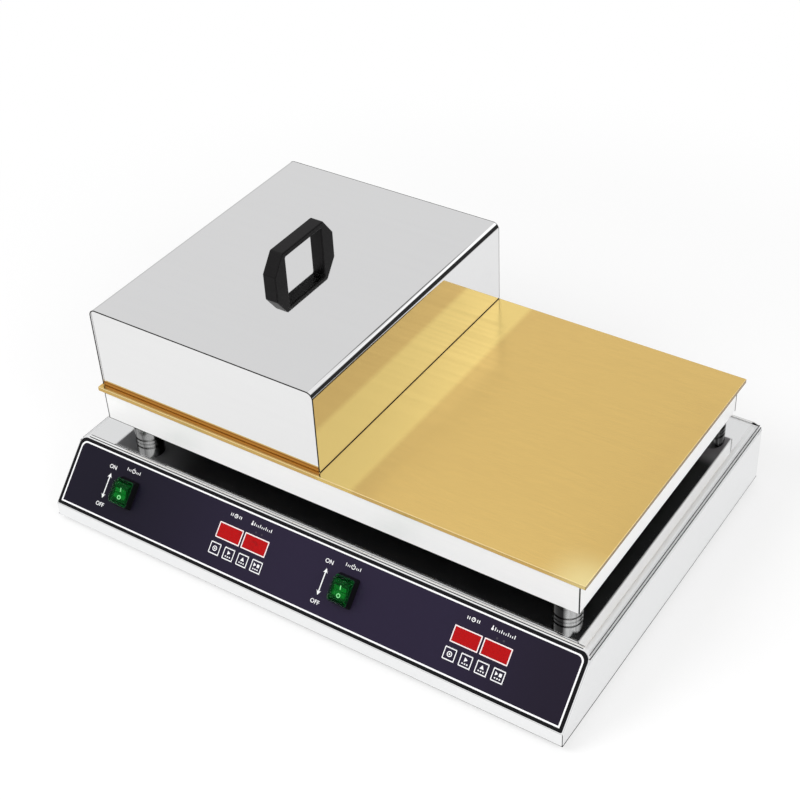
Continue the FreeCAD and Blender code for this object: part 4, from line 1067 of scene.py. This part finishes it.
def makeCoverSeams():
    seam = {"sheet": 0.45 * mm, "bend": 7.55 * mm, "radius": 0.62 * mm, "steps": 10, "hemRadius": 0.52 * mm,
            "footRadius": 0.5 * mm, "footGap": 0.04 * mm, "footInset": 0.1 * mm, "footShort": 0.5 * mm}
    low, high = cornersOf("lid_shell")
    left, right, top = low.x + seam["sheet"], high.x - seam["sheet"], high.z - seam["sheet"]
    bend = seam["bend"]
    turns = [math.pi / 2 * i / seam["steps"] for i in range(seam["steps"] + 1)]
    ends, hems = [], []
    for node, y in (("lid_front_plate", low.y), ("lid_rear_plate", high.y)):
        plateLow, plateHigh = cornersOf(node)
        path = [at(left, y, plateLow.z)]
        path += [at(left + bend - bend * math.cos(a), y, top - bend + bend * math.sin(a)) for a in turns]
        path += [at(right - bend + bend * math.sin(a), y, top - bend + bend * math.cos(a)) for a in turns]
        path.append(at(right, y, plateLow.z))
        ends.append(path)
        middle, height = (plateLow.y + plateHigh.y) / 2, (low.z + plateLow.z) / 2
        hems.append([at(x, middle, height) for x in (left, right)])
    foot = low.z + seam["footRadius"] + seam["footGap"]
    feet = [[at(x, y, foot) for y in (low.y + seam["footShort"], high.y - seam["footShort"])]
            for x in (low.x + seam["footInset"], high.x - seam["footInset"])]
    addBeads("coverSeams", ends, seam["radius"], "lid_shell")
    addBeads("coverHemShade", hems, seam["hemRadius"], "lid_shell", "heatTint")
    # painted shade: a dark line along the foot of each side, where the cover meets the plate
    addBeads("coverFootShade", feet, seam["footRadius"], "lid_shell")


# painted highlight: a bright line round the plate's upper edge

def makePlateGlint():
    line = {"radius": 0.34 * mm, "sink": 0.30 * mm}
    low, high = cornersOf("griddle_plate")
    left, right, front, back = low.x + line["sink"], high.x - line["sink"], low.y + line["sink"], high.y - line["sink"]
    loop = [at(x, y, high.z - line["sink"])
            for x, y in ((left, front), (right, front), (right, back), (left, back), (left, front))]
    addBeads("plateGlint", [loop], line["radius"], "griddle_plate", "edgeBrass")


# painted shade: a dark line round the foot of the base, thicker along the right-hand side and the back

def makeBaseFootShade():
    bead = {"radius": 0.34 * mm, "sideRadius": 0.58 * mm, "inset": 0.25 * mm}
    low, high = cornersOf("base_shell")
    left, right, z = low.x + bead["inset"], high.x - bead["inset"], low.z
    front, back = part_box("front_panel")[0][1] + bead["inset"], high.y - bead["inset"]
    start = at(right, front, z)
    frontPath = [start, at(left, front, z), at(left, back, z)]
    lipCorner = [start, at(right, front, panelFoot.z)]  # up to the lower bend
    sidePath = [start, at(right, back, z), at(left, back, z)]
    addBeads("baseFootShade", [frontPath, lipCorner], bead["radius"], "base_shell")
    addBeads("baseSideShade", [sidePath], bead["sideRadius"], "base_shell")


# painted reflections: dark lines along the folds of the base, two on each side bend, two where the deck meets the
# sloped panel

def makeFoldReflections():
    fold = {"bend": 9.5 * mm, "lines": {"bendReflectionsUpper": (44.0, 0.5 * mm), "bendReflectionsLower": (63.0, 0.95 * mm)},
            "proud": 0.26 * mm, "startGap": 0.6 * mm, "endGap": 0.5 * mm, "slopeTop": 82.4, "frontRadius": 0.34 * mm,
            "frontSink": 0.05 * mm, "frontGap": 3.1 * mm, "reach": 0.309}
    high = cornersOf("base_shell")[1]
    slope = onPanel(0.0, fold["slopeTop"], panelFoot.dot(outward))
    for name, (turn, radius) in fold["lines"].items():
        out = fold["bend"] - radius + fold["proud"]
        x = high.x - fold["bend"] + out * math.sin(math.radians(turn))
        z = high.z - fold["bend"] + out * math.cos(math.radians(turn))
        start = slope.y - (slope.z - z) * upward.y / upward.z + fold["startGap"]
        lines = [[at(side * x, y, z) for y in (start, high.y - fold["endGap"])] for side in (-1, 1)]
        addBeads(name, lines, radius, "base_shell")
    front = slope + at(0.0, fold["startGap"], -fold["frontSink"])
    paths = [[at(x, front.y + back, front.z) for x in (-fold["reach"], fold["reach"])]
             for back in (0.0, fold["frontGap"])]
    addBeads("frontFoldReflections", paths, fold["frontRadius"], "base_shell")


# weld that closes the seam between the deck's rear bend and the rear panel

def makeRearWeld():
    weld = {"radius": 1.4 * mm, "inset": 2.3 * mm, "drop": 1.9 * mm, "reach": 0.309}
    y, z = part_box("rear_panel")[1][1] - weld["inset"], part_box("base_shell")[1][2] - weld["drop"]
    path = [at(x, y, z) for x in (-weld["reach"], weld["reach"])]
    addBeads("rearWeld", [path], weld["radius"], "base_shell", "baseSteel")


# dark folded seams down the corners of the heater box, and a dark line along the left end of its front foot

def makeCornerSeams():
    seam = {"radius": 0.75 * mm, "sink": 0.45 * mm, "lowGap": 0.4 * mm, "footRadius": 0.42 * mm, "footSink": 0.2 * mm,
            "footLength": 0.075}
    low, high = cornersOf("heater_housing")
    work = bmesh.new()
    for x in (low.x + seam["sink"], high.x - seam["sink"]):
        for y in (low.y + seam["sink"], high.y - seam["sink"]):
            loop = discLoop(x, y, seam["radius"], 14)
            addSlab(work, loop, low.z + seam["lowGap"], high.z - seam["lowGap"], at)
    for face in work.faces:
        face.smooth = len(face.verts) == 4
    addPiece("cornerSeams", work, "heater_housing", "darkSteel")
    y, z = low.y + seam["footSink"], low.z + seam["footSink"]
    foot = [at(x, y, z) for x in (low.x + seam["footSink"], low.x + seam["footLength"])]
    addBeads("heaterFoot", [foot], seam["footRadius"], "heater_housing")


makePanelPrint()
makeWindowFrames()
makeKeyPrint()
makeRockerMarks()
tintWells()
makeCapDomes()
print("panel printing and switches ready")
makeFoldReflections()
makeRearWeld()
makeCornerSeams()
makeCoverSeams()
makePlateGlint()
makeBaseFootShade()
print("seams and fold lines ready")


# studio

def aimCamera():
    view = {"place": (0.7725, -1.1075, 1.1999), "azimuth": 35.24, "elevation": 38.22, "roll": -3.17, "lens": 72.02}
    azimuth, elevation, roll = (math.radians(view[key]) for key in ("azimuth", "elevation", "roll"))
    back = at(math.sin(azimuth) * math.cos(elevation), -math.cos(azimuth) * math.cos(elevation), math.sin(elevation))
    level = at(math.cos(azimuth), math.sin(azimuth), 0.0)
    raised = back.cross(level)
    right = level * math.cos(roll) + raised * math.sin(roll)
    up = raised * math.cos(roll) - level * math.sin(roll)
    data = bpy.data.cameras.new("photoCamera")
    data.lens, data.sensor_width, data.clip_start, data.clip_end = view["lens"], 36.0, 0.01, 50.0
    camera = bpy.data.objects.new("photoCamera", data)
    scene.collection.objects.link(camera)
    camera.matrix_world = Matrix.Translation(view["place"]) @ Matrix((right, up, back)).transposed().to_4x4()
    scene.camera = camera


def makeWorld():
    # soft white room with these zones; towards is a level direction with where its edge begins and ends, between is
    # the sine of the lowest and highest angle with how soft they are
    ambient = 0.72
    zones = [
        {"between": (-0.60, 0.34, 0.14), "tone": 0.66},  # greyer at the horizon
        {"towards": (-0.576, 0.817, 0.55, 0.85), "between": (0.36, 0.72, 0.02), "tone": 0.82},  # dim wall, back left
        {"towards": (0.62, 0.785, 0.70, 0.90), "between": (0.53, 0.70, 0.02), "tone": 1.36},  # bright, back right
        {"towards": (0.707, 0.707, 0.962, 0.9945), "between": (0.50, 0.72, 0.03), "tone": 0.84},  # shade inside it
        {"towards": (0.767, 0.642, 0.942, 0.966), "between": (-0.16, 0.53, 0.015), "tone": 0.03},  # dark opening
        {"towards": (-0.2, 0.98, 0.970, 0.985), "between": (0.70, 0.757, 0.006), "tone": 0.15},  # narrow dark gap
    ]
    world = bpy.data.worlds.new("softRoom")
    scene.world = world
    world.use_nodes = True
    tree = world.node_tree
    tree.nodes.clear()
    way = take(tree, "ShaderNodeTexCoord", out="Generated")
    apart = put(tree, "ShaderNodeSeparateXYZ", {0: way}).outputs
    level = take(tree, "ShaderNodeCombineXYZ", {"X": apart[0], "Y": apart[1]})
    level = take(tree, "ShaderNodeVectorMath", {0: level}, operation="NORMALIZE")

    def towards(x, y, wide, narrow):
        near = take(tree, "ShaderNodeVectorMath", {0: level, 1: (x, y, 0.0)}, operation="DOT_PRODUCT", out="Value")
        return remap(tree, near, wide, narrow, smooth=True)

    tone = grey(1.0)
    for zone in zones:
        mask = window(tree, apart[2], *zone["between"])
        if "towards" in zone:
            mask = times(tree, towards(*zone["towards"]), mask)
        tone = mixColour(tree, mask, tone, grey(zone["tone"]))
    rays = put(tree, "ShaderNodeLightPath").outputs
    seen = calc(tree, "MAXIMUM", rays["Is Glossy Ray"], rays["Is Transmission Ray"])
    tone = mixColour(tree, seen, grey(ambient), tone)
    tone = mixColour(tree, rays["Is Camera Ray"], tone, grey(1.0))
    light = take(tree, "ShaderNodeBackground", {"Color": tone, "Strength": 1.0})
    put(tree, "ShaderNodeOutputWorld", {"Surface": light})


def makeFloor():
    # pale disc that keeps the shadow near the object and fades to the white background
    pale = {"radius": 1.5, "segments": 96, "colour": 0.92, "fade": (0.55, 1.0), "whiteShare": (0.55, 1.0),
            "far": (0.6, 1.3), "farTone": 0.70}
    work = bmesh.new()
    bmesh.ops.create_circle(work, cap_ends=True, segments=pale["segments"], radius=pale["radius"])
    mesh = finishMesh(work, "floor")
    floor = bpy.data.objects.new("floor", mesh)
    scene.collection.objects.link(floor)
    material = bpy.data.materials.new("paleFloor")
    material.use_nodes = True
    tree = material.node_tree
    tree.nodes.clear()
    place = take(tree, "ShaderNodeTexCoord", out="Object")
    reach = take(tree, "ShaderNodeVectorMath", {0: place}, operation="LENGTH", out="Value")
    fade = remap(tree, reach, *pale["fade"], *pale["whiteShare"], smooth=True)
    matt = take(tree, "ShaderNodeBsdfDiffuse", {"Color": grey(pale["colour"])})
    rays = put(tree, "ShaderNodeLightPath").outputs
    seen = calc(tree, "MAXIMUM", rays["Is Camera Ray"], rays["Is Glossy Ray"])
    seen = calc(tree, "MAXIMUM", seen, rays["Is Transmission Ray"])
    far = remap(tree, reach, *pale["far"], 1.0, pale["farTone"], smooth=True)
    farColour = take(tree, "ShaderNodeCombineColor", {0: far, 1: far, 2: far})
    level = mixColour(tree, rays["Is Camera Ray"], farColour, grey(1.0))
    white = take(tree, "ShaderNodeEmission", {"Color": level, "Strength": 1.0})
    mixed = take(tree, "ShaderNodeMixShader", {0: times(tree, seen, fade), 1: matt, 2: white})
    put(tree, "ShaderNodeOutputMaterial", {"Surface": mixed})
    mesh.materials.append(material)


def addLamps():
    # soft lamps that mirror images leave out
    target = at(0.0, 0.0, 0.1)
    lamps = {"keyLamp": {"place": at(-1.1, -1.3, 1.9), "size": 1.4, "watts": 26.0},
             "fillLamp": {"place": at(1.6, -0.6, 1.3), "size": 1.2, "watts": 12.0}}
    for name, lamp in lamps.items():
        data = bpy.data.lights.new(name, "AREA")
        data.shape, data.size, data.energy = "DISK", lamp["size"], lamp["watts"]
        holder = bpy.data.objects.new(name, data)
        scene.collection.objects.link(holder)
        holder.location = lamp["place"]
        holder.rotation_euler = (target - lamp["place"]).to_track_quat("-Z", "Y").to_euler()
        holder.visible_glossy = False


aimCamera()
makeWorld()
makeFloor()
addLamps()
print("studio ready")
